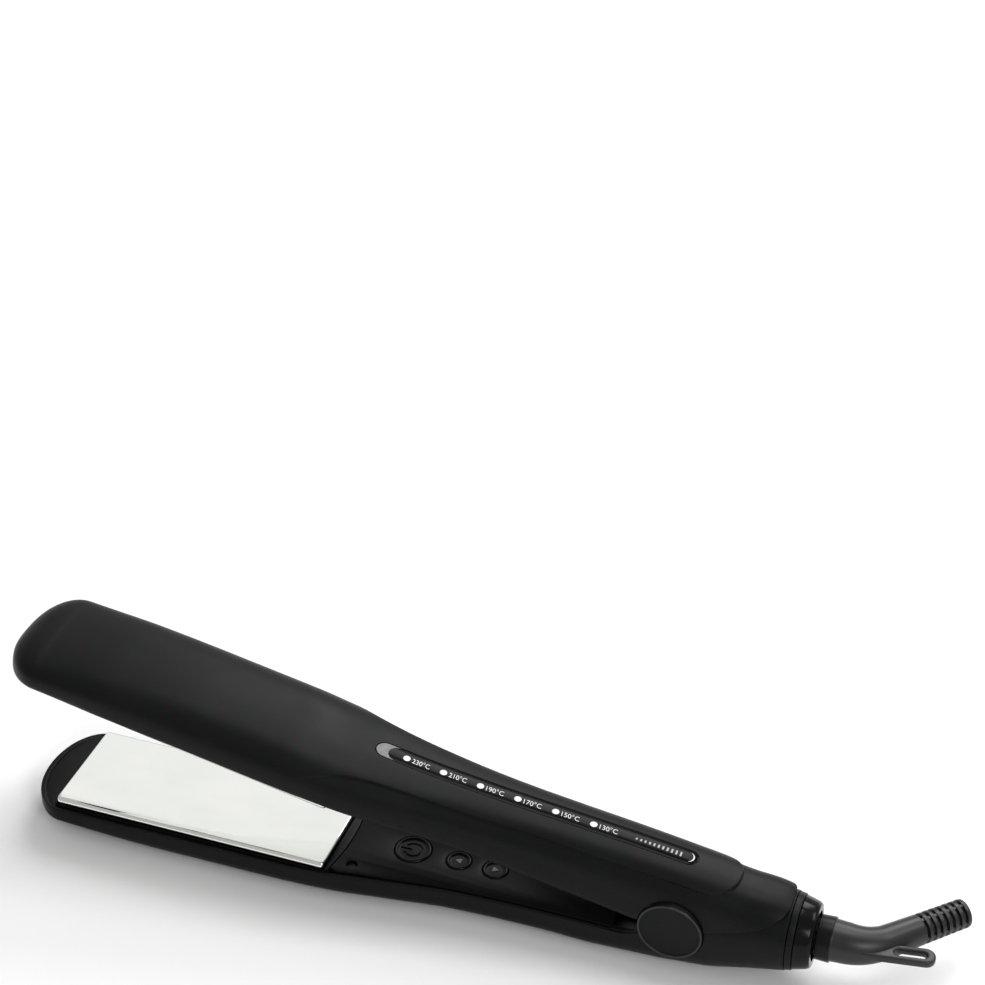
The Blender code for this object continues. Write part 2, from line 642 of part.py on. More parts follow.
def leave_boot(bm):
    """Turns and moves a shape drawn along +X to where the loop leaves the boot."""
    turn = Matrix.Rotation(math.radians(LOOP_TURN_DEG), 3, "Z")
    bmesh.ops.rotate(bm, verts=bm.verts, cent=(0, 0, 0), matrix=turn)
    bmesh.ops.translate(bm, verts=bm.verts, vec=(*LOOP_ROOT, LOOP_Z))
    return bm


def leads():
    for side, y in (("live", -8.6), ("neutral", 8.6)):
        route = [(190.6, y * 0.6, -8.6), (198, y * 0.9, -7.2), (206, y, -6.0), (219, y, -5.6),
                 (228, y * 0.85, -5.8), (234, y * 0.4, -6.9)]
        wire(f"supply_lead_{side}", curve_through(route, 4), 0.7, LEAD_BLACK)
    cross = [(190.6, 0, -8.6), (198, 0, -7.4), (204.5, 0, -2.5), (206.0, 0, 6), (203.5, 0, 12.5),
             (199.5, 0, 15.6), (195.6, 0, 16.4)]
    wire("arm_to_arm_lead", curve_through(cross, 4), 0.9, LEAD_BLACK)


def build():
    lower_housing()
    upper_housing()
    for arm in ("lower", "upper"):
        heater_plate(arm)
        plate_holder(arm)
        heater(arm)
        cover_screws(arm)
    sensors()
    screw_holes = [(SCREW_X, -SCREW_Y, 1.9), (SCREW_X, SCREW_Y, 1.9)]
    keys = [(POWER_X, 0, POWER_R + 0.25), (UP_X, 0, SMALL_R + 0.25), (DOWN_X, 0, SMALL_R + 0.25)]
    inner_cover("lower", screw_holes + keys)
    inner_cover("upper", screw_holes)
    button("power_button", POWER_X, POWER_R)
    button("temp_up_button", UP_X, SMALL_R)
    button("temp_down_button", DOWN_X, SMALL_R)
    electronics()
    display()
    lower_hinge_frame()
    upper_hinge_frame()
    hinge_small_parts()
    opening_spring()
    tail()
    swivel()
    strain_relief_boot()
    leads()


build()
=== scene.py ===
"""Looks of the wide-plate hair straightener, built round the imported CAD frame.

Shapes are drawn in the design frame, in millimetres: x = 0 at the front edge of the heater plates and
+X towards the cord, y = 0 on the centre plane, z = 0 on the face of the lower plate. The upper arm is
drawn closed onto the lower one, and swung open about the hinge when its pieces are made.
"""
import json
import math

import bmesh
import bpy
import numpy as np
from mathutils import Matrix, Vector


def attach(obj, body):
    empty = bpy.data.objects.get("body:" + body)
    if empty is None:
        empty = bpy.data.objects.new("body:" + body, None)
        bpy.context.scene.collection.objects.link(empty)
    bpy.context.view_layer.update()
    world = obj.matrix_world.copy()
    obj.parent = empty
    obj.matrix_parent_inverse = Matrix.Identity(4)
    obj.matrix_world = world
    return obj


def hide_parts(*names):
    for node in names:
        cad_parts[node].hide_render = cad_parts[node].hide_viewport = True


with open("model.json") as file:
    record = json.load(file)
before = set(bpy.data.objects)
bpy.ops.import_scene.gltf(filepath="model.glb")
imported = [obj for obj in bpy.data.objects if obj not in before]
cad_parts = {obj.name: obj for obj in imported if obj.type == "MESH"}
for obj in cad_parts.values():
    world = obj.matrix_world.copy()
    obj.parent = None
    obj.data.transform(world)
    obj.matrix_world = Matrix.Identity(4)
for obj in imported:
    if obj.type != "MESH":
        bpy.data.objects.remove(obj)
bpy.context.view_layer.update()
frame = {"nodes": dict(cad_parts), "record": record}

MM = 0.001

# Driving dimensions, as in the part
DATUM = (-146.53, -3.51, 14.6)
HINGE_X, HINGE_Z, OPENING_DEG = 219.0, 3.8, 11.7
WALL, FIT, CLOSED_GAP = 1.8, 0.3, 0.3
LOWER_NOSE, UPPER_NOSE, NOSE_RUN = -12.6, -21.6, 14.6
TAIL_X, TAIL_Z, TAIL_R, REST_Z = 256.0, 3.4, 13.0, -14.6
PLATE_LENGTH, PLATE_HALF, PLATE_THICK, PLATE_LIP = 100.0, 19.5, 1.6, 2.6
CAP_R, CAP_FACE = 10.9, 14.8
POWER_X, UP_X, DOWN_X, POWER_R, SMALL_R = 125.1, 141.6, 154.6, 6.3, 4.3
WINDOW_FRONT, WINDOW_END, WINDOW_HALF = 107.8, 219.6, 3.4
LIGHT_X, LIGHT_PITCH, LIGHT_COUNT, LIGHT_R = 118.8, 13.05, 6, 1.25
COVER_FRONT, COVER_END, COVER_TOP, COVER_UNDER = 103.9, 199.0, -2.2, -4.2
SCREW_X, SCREW_Y, SCREW_HOLE_R = 108.2, 13.6, 1.9
COVER_BOW, KEY_GAP = 2.2, 0.25
TRAY_HALF, TRAY_GAP, TRAY_POCKET = 18.5, 0.4, 14
NOSE_ARC_HALF, NOSE_ARC_DEEP = 19.6, 3.4
KEY_FACE, KEY_DISH = -1.9, -2.45
PLATE_CORNER, PLATE_SOFTENING = 1.2, 0.25
SWIVEL_X, CORD_R, TAIL_BORE_R = 264.1, 2.6, 8.3
RING_STEPS = 120
BOOT_START, BOOT_STRAIGHT, BOOT_BEND_R, BOOT_BEND = SWIVEL_X + FIT, 9.7, 15.9, math.radians(45.5)
RIB_START, RIB_PITCH, RIB_COUNT, RIB_SLOT = 12.5, 2.47, 7, 1.2
RIB_R, RIB_DEPTH = 5.05, 1.15
LOOP_ROOT, LOOP_TURN, LOOP_Z = (281.0, -1.9), math.radians(9.0), 4.3
LOOP_BACK, LOOP_LENGTH, LOOP_HALF, LOOP_THICK = -7.0, 17.9, 3.3, 2.8
LOOP_HOLE_HALF, LOOP_HOLE_START, LOOP_HOLE_END = 1.35, 9.5, 17.0

# Profiles along the arms: (x, value)
HALF_WIDTH = ((2, 22.2), (20, 22.3), (50, 22.0), (80, 21.9), (100, 21.2), (120, 18.9), (145, 15.8),
              (175, 14.7), (205, 14.5), (235, 14.1), (256, 13.0))
UPPER_TOP = ((-7, 14.2), (20, 17.2), (50, 18.3), (80, 18.4), (100, 17.4), (120, 17.3), (145, 18.2),
             (175, 20.5), (205, 22.9), (235, 24.6), (249, 25.1), (257, 24.0))
LOWER_BOTTOM = ((2, -10.8), (20, -13.2), (45, -14.9), (95, -14.9), (125, -14.0), (150, -13.4),
                (175, -13.7), (195, -14.9), (228, -14.9), (242, -12.6), (256, -9.8))
LOWER_RIM = ((2, -3.6), (95, -3.6), (110, -3.0), (203, -3.0), (230, 5.9), (242, 9.0), (251.3, 13.3),
             (254.4, 15.7), (255, 16.2))
LOWER_WIDEST = ((2, -6.5), (190, -6.0), (215, -3.0), (245, 3.4), (256, 3.4))
LOWER_SHOULDER = ((2, 9.0), (190, 9.0), (240, 13.4), (256, 13.0))
UPPER_RIM = ((2, 3.9), (95, 3.9), (110, 3.3), (206, 3.3), (229, 8.4), (239, 13.6), (245, 17.6),
             (248.5, 20.6), (250.4, 22.6), (251.3, 23.7), (251.9, 24.6))
UPPER_WIDEST = ((2, 6.8), (145, 6.2), (257, 5.5))

# The raised tongue on the upper arm: half width along it, and its round rear end
TONGUE = ((84, 22.0), (90.3, 20.7), (96.1, 18.5), (103, 15.9), (110.7, 14.3), (122, 13.0), (145, 11.6),
          (167.5, 10.5), (190, 10.4), (217, 10.1), (222, 10.1))
TONGUE_ROUND, TONGUE_END = 222.0, 234.3
TONGUE_RISE, TONGUE_SINK, TONGUE_SLOPE = 0.3, 0.75, 0.55


def smooth(points, x):
    """The value at x of a curve through the points, level at both ends and without overshoot."""
    if x <= points[0][0]:
        return points[0][1]
    for i in range(len(points) - 1):
        (x0, y0), (x1, y1) = points[i], points[i + 1]
        if x > x1:
            continue
        run, ends = x1 - x0, []
        for j in (i, i + 1):
            if j in (0, len(points) - 1):
                ends.append((y1 - y0) / run)
                continue
            before = (points[j][1] - points[j - 1][1]) / (points[j][0] - points[j - 1][0])
            after = (points[j + 1][1] - points[j][1]) / (points[j + 1][0] - points[j][0])
            level = before * after <= 0
            ends.append(0 if level else 2 * before * after / (before + after))
        t = (x - x0) / run
        return (y0 * (1 + 2 * t) * (1 - t) ** 2 + y1 * t * t * (3 - 2 * t)
                + ends[0] * run * t * (1 - t) ** 2 - ends[1] * run * t * t * (1 - t))
    return points[-1][1]


def straight(points, x):
    return float(np.interp(x, [p[0] for p in points], [p[1] for p in points]))


def spread(low, high, count):
    return [low + (high - low) * i / (count - 1) for i in range(count)]


def ease(value):
    t = min(1.0, max(0.0, value))
    return t * t * (3 - 2 * t)


# Scene helpers

def arm_matrix(arm):
    """From the design frame in millimetres to the world in metres, at rest."""
    world = Matrix.Scale(MM, 4) @ Matrix.Translation(DATUM)
    if arm != "upper":
        return world
    hinge = Matrix.Translation((HINGE_X, 0, HINGE_Z))
    return world @ hinge @ Matrix.Rotation(math.radians(OPENING_DEG), 4, "Y") @ hinge.inverted()


def new_object(name, data):
    made = bpy.data.objects.new(name, data)
    bpy.context.scene.collection.objects.link(made)
    return made


def from_bmesh(name, bm, arm="lower", sharp=38):
    """Makes an object of a bmesh drawn in the design frame."""
    bm.transform(arm_matrix(arm))
    mesh = bpy.data.meshes.new(name)
    bm.to_mesh(mesh)
    bm.free()
    mesh.shade_smooth()
    mesh.set_sharp_from_angle(angle=math.radians(sharp))
    return new_object(name, mesh)


def baked(obj):
    """Applies the object's modifiers, or turns its curve or text into a mesh."""
    graph = bpy.context.evaluated_depsgraph_get()
    mesh = bpy.data.meshes.new_from_object(obj.evaluated_get(graph))
    name = obj.name
    matrix = obj.matrix_world.copy()
    bpy.data.objects.remove(obj)
    made = new_object(name, mesh)
    made.matrix_world = matrix
    return made


def subtract(obj, *cutters):
    """Cuts the objects out of obj, and removes them."""
    for cutter in cutters:
        modifier = obj.modifiers.new("cut", "BOOLEAN")
        modifier.object = cutter
        modifier.operation = "DIFFERENCE"
        modifier.solver = "EXACT"
    made = baked(obj)
    for cutter in cutters:
        bpy.data.objects.remove(cutter)
    made.data.shade_smooth()
    made.data.set_sharp_from_angle(angle=math.radians(38))
    return made


def ready(obj, body, look, slot, *replaced):
    """Gives a piece its material, its body and the CAD nodes that it stands for; the record slot argument is
    not used.
    """
    obj.data.materials.clear()
    obj.data.materials.append(look)
    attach(obj, body)
    if replaced:
        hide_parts(*replaced)
    return obj


def grid_mesh(rows, caps=True):
    """A bmesh skinned over rings of points; a ring of no radius collapses to one point."""
    bm = bmesh.new()
    verts = [[bm.verts.new(p) for p in row] for row in rows]
    count = len(rows[0])
    for a, b in zip(verts, verts[1:]):
        for i in range(count):
            j = (i + 1) % count
            bm.faces.new((a[i], a[j], b[j], b[i]))
    if caps:
        bm.faces.new(verts[0])
        bm.faces.new(verts[-1])
    bmesh.ops.remove_doubles(bm, verts=bm.verts, dist=1e-4)
    bmesh.ops.recalc_face_normals(bm, faces=bm.faces)
    return bm


def filleted(points, radius, steps=4):
    """An open polyline with its inner corners rounded; a radius shrinks on short runs."""
    out = [points[0]]
    for before, corner, after in zip(points, points[1:], points[2:]):
        p, c, n = Vector(before), Vector(corner), Vector(after)
        cut = min(radius, (p - c).length * 0.45, (n - c).length * 0.45)
        a, b = c + (p - c).normalized() * cut, c + (n - c).normalized() * cut
        for i in range(steps + 1):
            t = i / steps
            out.append(tuple(a * (1 - t) ** 2 + c * 2 * t * (1 - t) + b * t * t))
    out.append(points[-1])
    return out


def turned(name, profile, axis="Z", centre=(0, 0, 0), fillet=0.2, steps=96, arm="lower"):
    """A (radius, height) profile with rounded corners, turned round an axis through the centre."""
    line = filleted(profile, fillet)
    rows = []
    for i in range(steps):
        angle = 2 * math.pi * i / steps
        c, s = math.cos(angle), math.sin(angle)
        place = {"X": lambda r, h: (h, r * c, r * s), "Y": lambda r, h: (r * c, h, r * s),
                 "Z": lambda r, h: (r * c, r * s, h)}[axis]
        rows.append([Vector(place(r, h)) + Vector(centre) for r, h in line])
    bm = grid_mesh([list(r) for r in zip(*rows)], caps=False)
    if profile[0][0] > 0:
        loops = [e for e in bm.edges if e.is_boundary]
        bmesh.ops.bridge_loops(bm, edges=loops)
        bmesh.ops.recalc_face_normals(bm, faces=bm.faces)
    return from_bmesh(name, bm, arm, 50)


def flat_piece(name, outlines, low, high, bevel, arm="lower"):
    """A plate between two heights from a clockwise outline and its anticlockwise holes."""
    data = bpy.data.curves.new(name, "CURVE")
    data.dimensions = "2D"
    data.fill_mode = "BOTH"
    data.extrude = (high - low) / 2 - bevel
    data.bevel_depth = bevel
    data.bevel_resolution = 2
    data.offset = -bevel
    for outline in outlines:
        spline = data.splines.new("POLY")
        spline.points.add(len(outline) - 1)
        for point, (x, y) in zip(spline.points, outline):
            point.co = (x, y, 0, 1)
        spline.use_cyclic_u = True
    made = baked(new_object(name, data))
    made.data.transform(arm_matrix(arm) @ Matrix.Translation((0, 0, (low + high) / 2)))
    bm = bmesh.new()
    bm.from_mesh(made.data)
    bmesh.ops.remove_doubles(bm, verts=bm.verts, dist=1e-6)
    bmesh.ops.recalc_face_normals(bm, faces=bm.faces)
    bm.to_mesh(made.data)
    bm.free()
    made.data.shade_smooth()
    made.data.set_sharp_from_angle(angle=math.radians(38))
    return made


def refined(node, width):
    """A copy of a CAD node's mesh whose sharp edges are rounded."""
    source = frame["nodes"][node]
    bm = bmesh.new()
    bm.from_mesh(source.data)
    bm.transform(source.matrix_world)
    bmesh.ops.remove_doubles(bm, verts=bm.verts, dist=1e-6)
    bmesh.ops.dissolve_limit(bm, angle_limit=math.radians(1.5), verts=bm.verts, edges=bm.edges)
    sharp = [e for e in bm.edges if len(e.link_faces) == 2 and e.calc_face_angle(0) > math.radians(40)]
    bmesh.ops.bevel(bm, geom=sharp, offset=width * MM, segments=2, profile=0.5,
                    affect="EDGES", clamp_overlap=True)
    mesh = bpy.data.meshes.new(node + "_fine")
    bm.to_mesh(mesh)
    bm.free()
    mesh.shade_smooth()
    mesh.set_sharp_from_angle(angle=math.radians(38))
    return new_object(node + "_fine", mesh)


def tube(name, points, radius):
    """A round wire along a smooth curve led by the points."""
    data = bpy.data.curves.new(name, "CURVE")
    data.dimensions = "3D"
    spline = data.splines.new("NURBS")
    spline.points.add(len(points) - 1)
    for target, point in zip(spline.points, points):
        target.co = (*point, 1)
    spline.order_u = 4
    spline.use_endpoint_u = True
    spline.resolution_u = 4
    data.bevel_depth = radius
    data.bevel_resolution = 6
    data.use_fill_caps = True
    made = baked(new_object(name, data))
    made.data.transform(arm_matrix("lower"))
    made.data.shade_smooth()
    made.data.set_sharp_from_angle(angle=math.radians(50))
    return made


# Materials

class Nodes:
    """A material's node tree, with short ways to add the nodes that the finishes share."""

    def __init__(self, name, metallic=0.0, specular=0.5):
        self.material = bpy.data.materials.new(name)
        self.material.use_nodes = True
        self.tree = self.material.node_tree
        self.shader = self.tree.nodes["Principled BSDF"]
        self.shader.inputs["Metallic"].default_value = metallic
        self.shader.inputs["Specular IOR Level"].default_value = specular
        self.at = self.tree.nodes.new("ShaderNodeTexCoord").outputs["Object"]

    def link(self, output, target):
        self.tree.links.new(output, target)

    def noise(self, size, stretch=None, detail=3.0):
        """Noise whose blobs are about `size` millimetres across."""
        node = self.tree.nodes.new("ShaderNodeTexNoise")
        node.inputs["Scale"].default_value = 1.0 / (size * MM)
        node.inputs["Detail"].default_value = detail
        where = self.at
        if stretch:
            mapping = self.tree.nodes.new("ShaderNodeMapping")
            mapping.inputs["Scale"].default_value = stretch
            self.link(where, mapping.inputs["Vector"])
            where = mapping.outputs["Vector"]
        self.link(where, node.inputs["Vector"])
        return node.outputs["Fac"]

    def colours(self, value, first, second, start=0.35, end=0.65):
        node = self.tree.nodes.new("ShaderNodeValToRGB")
        node.color_ramp.elements[0].position = start
        node.color_ramp.elements[1].position = end
        node.color_ramp.elements[0].color = (*first, 1)
        node.color_ramp.elements[1].color = (*second, 1)
        self.link(value, node.inputs["Fac"])
        self.link(node.outputs["Color"], self.shader.inputs["Base Color"])
        self.material.diffuse_color = (*first, 1)

    def rough(self, value, low, high):
        node = self.tree.nodes.new("ShaderNodeMapRange")
        for key, number in (("From Min", 0.3), ("From Max", 0.7), ("To Min", low), ("To Max", high)):
            node.inputs[key].default_value = number
        self.link(value, node.inputs["Value"])
        self.link(node.outputs["Result"], self.shader.inputs["Roughness"])

    def bump(self, value, strength, depth, after=None):
        """Bump `depth` millimetres deep."""
        node = self.tree.nodes.new("ShaderNodeBump")
        node.inputs["Strength"].default_value = strength
        node.inputs["Distance"].default_value = depth * MM
        self.link(value, node.inputs["Height"])
        if after:
            self.link(after, node.inputs["Normal"])
        self.link(node.outputs["Normal"], self.shader.inputs["Normal"])
        return node.outputs["Normal"]


def moulded(name, dark, light, rough, grain, depth, specular=0.5, patch=26.0, stretch=None,
            metallic=0.0):
    """Moulded, turned or drawn stock: fine grain, slow change of colour, and patchy roughness."""
    n = Nodes(name, metallic, specular)
    n.colours(n.noise(patch, None, 4), dark, light)
    n.rough(n.noise(patch * 0.55, None, 5), rough[0], rough[1])
    fine = n.bump(n.noise(grain, stretch, 2), 0.6, depth)
    n.bump(n.noise(grain * 9, stretch, 2), 0.35, depth * 2.2, fine)
    return n.material


SOFT_TOUCH = moulded("soft_touch", (0.0029, 0.0034, 0.0032), (0.0042, 0.0047, 0.0045), (0.39, 0.46), 0.16,
                     0.006, 0.125)
STRIP = moulded("strip_gloss", (0.0008, 0.0009, 0.0009), (0.0012, 0.0012, 0.0013), (0.12, 0.2), 0.9,
                0.0012, 0.06)
GLOSS = moulded("piano_gloss", (0.0015, 0.0017, 0.0018), (0.0023, 0.0025, 0.0025), (0.12, 0.2), 0.9,
                0.0012, 0.14)
SATIN = moulded("satin_black", (0.003, 0.0033, 0.0033), (0.0045, 0.0048, 0.0048), (0.26, 0.34), 0.3,
                0.003, 0.14)
# Painted highlight: a lighter, shinier black for the bead round each hinge cap, standing in for its bright
# rim line.
RIM_HIGHLIGHT = moulded("painted_rim_highlight", (0.010, 0.0105, 0.0105), (0.015, 0.015, 0.015), (0.24, 0.32), 0.3, 0.003, 0.4)
HOLDER = moulded("heat_resistant", (0.0055, 0.0062, 0.0056), (0.0075, 0.0082, 0.0076), (0.42, 0.52), 0.22,
                 0.006, 0.16)
RUBBER = moulded("boot_rubber", (0.0085, 0.0086, 0.0086), (0.012, 0.012, 0.0118), (0.33, 0.42), 0.2,
                 0.008, 0.4)
PRINT = moulded("light_print", (0.60, 0.61, 0.60), (0.70, 0.71, 0.70), (0.4, 0.5), 0.1, 0.002)
LENS = moulded("light_lens", (0.66, 0.67, 0.665), (0.74, 0.745, 0.74), (0.22, 0.3), 0.35, 0.002, 0.5, 3.0)
SCALE_PRINT = moulded("scale_print", (0.34, 0.345, 0.34), (0.42, 0.42, 0.42), (0.4, 0.5), 0.1, 0.002)
DIM_PRINT = moulded("dim_print", (0.12, 0.12, 0.12), (0.16, 0.16, 0.16), (0.4, 0.5), 0.1, 0.002)
# Painted reflection: a grey-to-light colour for the crescent of light caught at the display strip's round
# front end.
GLINT = moulded("painted_reflection_crescent", (0.02, 0.022, 0.02), (0.055, 0.055, 0.053), (0.2, 0.3), 0.3, 0.002, 0.5, 3.0)
STEEL = moulded("drawn_steel", (0.48, 0.48, 0.475), (0.58, 0.58, 0.575), (0.24, 0.36), 0.2, 0.003, 0.5, 8.0,
                (1, 8, 8), 1.0)
# Painted shade: near-black steel for the hinge frames and cover screws, which keeps the hinge recess and
# screw holes dark.
RECESS_SHADE_STEEL = moulded("black_steel", (0.022, 0.022, 0.022), (0.032, 0.032, 0.032), (0.38, 0.5), 0.2, 0.003,
                      0.3, 8.0, None, 0.8)
BRASS = moulded("brass", (0.58, 0.40, 0.15), (0.7, 0.5, 0.2), (0.25, 0.38), 0.3, 0.003, 0.5, 5.0, None, 1.0)
CERAMIC = moulded("ceramic", (0.66, 0.64, 0.58), (0.76, 0.74, 0.69), (0.55, 0.7), 0.4, 0.01, 0.4, 6.0)
SILICONE = moulded("silicone", (0.36, 0.05, 0.035), (0.46, 0.075, 0.05), (0.5, 0.62), 0.3, 0.006, 0.4, 7.0)
# Painted shade: the lead sleeves are near-black so that they stay dark where they show in the recess at the
# hinge.
SHADED_SLEEVE = moulded("lead_sleeve", (0.014, 0.014, 0.014), (0.022, 0.022, 0.022), (0.45, 0.56), 0.3, 0.004,
                 0.3, 6.0)


def mirror_finish():
    """The polished plate coating: close to a mirror, with faint lengthwise polish and soft smears."""
    n = Nodes("polished_plate", 1.0)
    n.colours(n.noise(34, (1, 1.6, 1), 3), (0.83, 0.845, 0.81), (0.87, 0.88, 0.85))
    n.rough(n.noise(15, (1, 2.4, 1), 5), 0.055, 0.12)
    n.bump(n.noise(0.5, (1, 14, 14), 3), 0.25, 0.0007)
    return n.material


def board_finish():
    """Solder mask over copper tracks."""
    n = Nodes("circuit_board", 0.0)
    tracks = n.tree.nodes.new("ShaderNodeTexBrick")
    tracks.inputs["Scale"].default_value = 260.0
    tracks.inputs["Mortar Size"].default_value = 0.03
    n.link(n.at, tracks.inputs["Vector"])
    n.colours(tracks.outputs["Fac"], (0.012, 0.09, 0.035), (0.03, 0.19, 0.08), 0.2, 0.8)
    n.rough(n.noise(4), 0.3, 0.45)
    n.bump(tracks.outputs["Fac"], 0.5, 0.03)
    return n.material


MIRROR = mirror_finish()
BOARD = board_finish()


# Housings

def lower_form(x, full):
    """Half width, widest height, crown, rim, shoulder and power of the lower arm's section."""
    tail = min(1.0, max(0.0, (x - 215) / (TAIL_X - 215)))
    rim = straight(LOWER_RIM, x)
    return (smooth(HALF_WIDTH, x) * full, rim + (straight(LOWER_WIDEST, x) - rim) * full,
            rim + (smooth(LOWER_BOTTOM, x) - rim) * full, rim, straight(LOWER_SHOULDER, x),
            2.6 - 0.6 * tail)


def upper_form(x, full):
    rim = straight(UPPER_RIM, x)
    return (smooth(HALF_WIDTH, x) * full, rim + (straight(UPPER_WIDEST, x) - rim) * full,
            rim + (smooth(UPPER_TOP, x) - rim) * full, rim, 9.0, 2.6)


def rim_angle(form, edge):
    """Where on the section the rim lies, `edge` short of it."""
    half, widest, crown, rim, shoulder, power = form
    way = math.copysign(1, crown - widest)
    past = (rim - widest) * way + edge
    height = abs(crown - widest) if past > 0 else shoulder
    return math.copysign(math.asin(min(1.0, abs(past) / max(height, 1e-6)) ** (power / 2)), past)


def section_point(x, form, angle):
    half, widest, crown, rim, shoulder, power = form
    way = math.copysign(1, crown - widest)
    side, rise = math.cos(angle), math.sin(angle)
    reach = abs(crown - widest) if rise >= 0 else shoulder
    y = math.copysign(half * abs(side) ** (2 / power), side)
    z = widest + way * math.copysign(reach * abs(rise) ** (2 / power), rise)
    return (x, y, max(z, REST_Z))


def tongue_half(x):
    if x >= TONGUE_END:
        return 0.0
    share = max(0.0, (x - TONGUE_ROUND) / (TONGUE_END - TONGUE_ROUND))
    return smooth(TONGUE, x) * (1 - share ** 2.5) ** 0.4


def tongue_angle(x, form):
    """The section angle of the tongue's long edge, which is carried on past its round end."""
    reach = smooth(TONGUE, min(x, TONGUE_ROUND)) if x > TONGUE[0][0] else TONGUE[0][1]
    share = min(0.985, reach / max(form[0], 1e-3))
    return math.acos(share ** (form[5] / 2))


def columns(x, form, arm, edge):
    """Section angles from the far rim over the crown to the near rim."""
    start = rim_angle(form, edge)
    if arm == "lower":
        return spread(start, math.pi - start, 111)
    ledge = min(max(tongue_angle(x, form), start + 0.12), math.pi / 2 - 0.2)
    band = 0.035
    half = (spread(start, ledge - band, 26)[:-1] + spread(ledge - band, ledge + band, 13)[:-1]
            + spread(ledge + band, math.pi / 2, 38))
    return half + [math.pi - a for a in reversed(half[:-1])]


def edge_distance(points):
    """Signed distance from the tongue's outline in plan, positive inside it, for each point."""
    xs = spread(TONGUE[0][0], TONGUE_ROUND, 90) + [
        TONGUE_ROUND + (TONGUE_END - TONGUE_ROUND) * math.sin(a) for a in spread(0, math.pi / 2, 60)[1:]]
    line = np.array([(x, tongue_half(x)) for x in xs])
    flat = np.column_stack((points[:, 0], np.abs(points[:, 1])))
    best = np.full(len(flat), 1e9)
    for a, b in zip(line, line[1:]):
        run = b - a
        t = np.clip(((flat - a) @ run) / (run @ run), 0, 1)
        best = np.minimum(best, np.linalg.norm(flat - (a + t[:, None] * run), axis=1))
    inside = flat[:, 1] < np.array([tongue_half(x) for x in flat[:, 0]])
    return np.where(inside, best, -best)


def unit(vectors):
    return vectors / np.maximum(np.linalg.norm(vectors, axis=-1, keepdims=True), 1e-9)


def shell(name, arm, nose, ends, edge=0.35):
    """A housing half: its outer skin, its inner skin one wall further in, and a rounded rim."""
    form_of = upper_form if arm == "upper" else lower_form
    nose_end = LOWER_NOSE + NOSE_RUN if arm == "lower" else UPPER_NOSE + NOSE_RUN
    turn = [0.002, *spread(0.03, math.pi / 2, 34)]
    stations = [(nose_end - (nose_end - nose) * math.cos(t), math.sin(t)) for t in turn]
    for x0, x1, step in ends:
        stations += [(x, 1.0) for x in spread(x0, x1, max(2, round((x1 - x0) / step) + 1))[1:]]
    rows = []
    for x, full in stations:
        form = form_of(x, full)
        rows.append([section_point(x, form, a) for a in columns(x, form, arm, -edge)])
    outer = np.array(rows)
    along, around = np.gradient(outer, axis=0), np.gradient(outer, axis=1)
    normal = unit(np.cross(along, around))
    middle = normal.shape[1] // 2
    up = 1 if arm == "upper" else -1
    if normal[len(rows) // 2, middle, 2] * up < 0:
        normal = -normal
    inner = outer - normal * WALL
    if arm == "upper":
        flat = outer.reshape(-1, 3)
        away = edge_distance(flat)
        fade = np.array([ease((x - 86) / 20) for x in flat[:, 0]])
        step = np.clip(away / TONGUE_SLOPE + 0.5, 0, 1)
        step = step * step * (3 - 2 * step)
        ledge_fade = np.array([1 - ease((x - 236) / 12) for x in flat[:, 0]])
        lift = (step * (TONGUE_RISE + TONGUE_SINK) - TONGUE_SINK) * fade * ledge_fade
        side = np.clip((flat[:, 2] - 4) / 6, 0, 1)
        outer = outer + (lift * side)[:, None].reshape(*outer.shape[:2], 1) * normal
    loops = []
    for o, i in zip(outer, inner):
        loops.append([*o, *lip(o[-1], i[-1], o[-1] - o[-2], edge), *i[::-1],
                      *lip(i[0], o[0], o[0] - o[1], edge)])
    bm = bmesh.new()
    verts = [[bm.verts.new(p) for p in loop] for loop in loops]
    size = len(verts[0])
    for a, b in zip(verts, verts[1:]):
        for i in range(size):
            j = (i + 1) % size
            bm.faces.new((a[i], a[j], b[j], b[i]))
    count = outer.shape[1]
    lips = len(lip(outer[0][0], inner[0][0], outer[0][0] - outer[0][1], edge))
    for ring in (verts[0], verts[-1]):
        for i in range(count - 1):
            a, b = ring[i], ring[i + 1]
            c, d = ring[2 * count + lips - 2 - i], ring[2 * count + lips - 1 - i]
            bm.faces.new((a, b, c, d))
        bm.faces.new(ring[count - 1:count + lips + 1])
        bm.faces.new([*ring[2 * count + lips - 1:], ring[0]])
    bmesh.ops.recalc_face_normals(bm, faces=bm.faces)
    return from_bmesh(name, bm, arm)


def lip(start, end, onward, edge):
    """Points round the rim's thickness, from one skin to the other."""
    onward = onward - (onward @ unit(start - end)) * unit(start - end)
    onward = unit(onward) * edge
    middle, half = (start + end) / 2, (start - end) / 2
    found = []
    for a in spread(0, math.pi, 9)[1:-1]:
        across = math.copysign(abs(math.cos(a)) ** 0.5, math.cos(a))
        found.append(middle + half * across + onward * math.sin(a) ** 0.5)
    return found


def cap_cutter(arm):
    """Clears the round holes that the hinge caps sit in."""
    return turned("cap_cutter", [(0, -30), (CAP_R + FIT, -30), (CAP_R + FIT, 30), (0, 30)], "Y",
                  (HINGE_X, 0, HINGE_Z), 0.001, 128, arm)


def strip_top(x):
    """Height of the display's face: just under the tongue's."""
    return smooth(UPPER_TOP, x) + TONGUE_RISE - 0.06


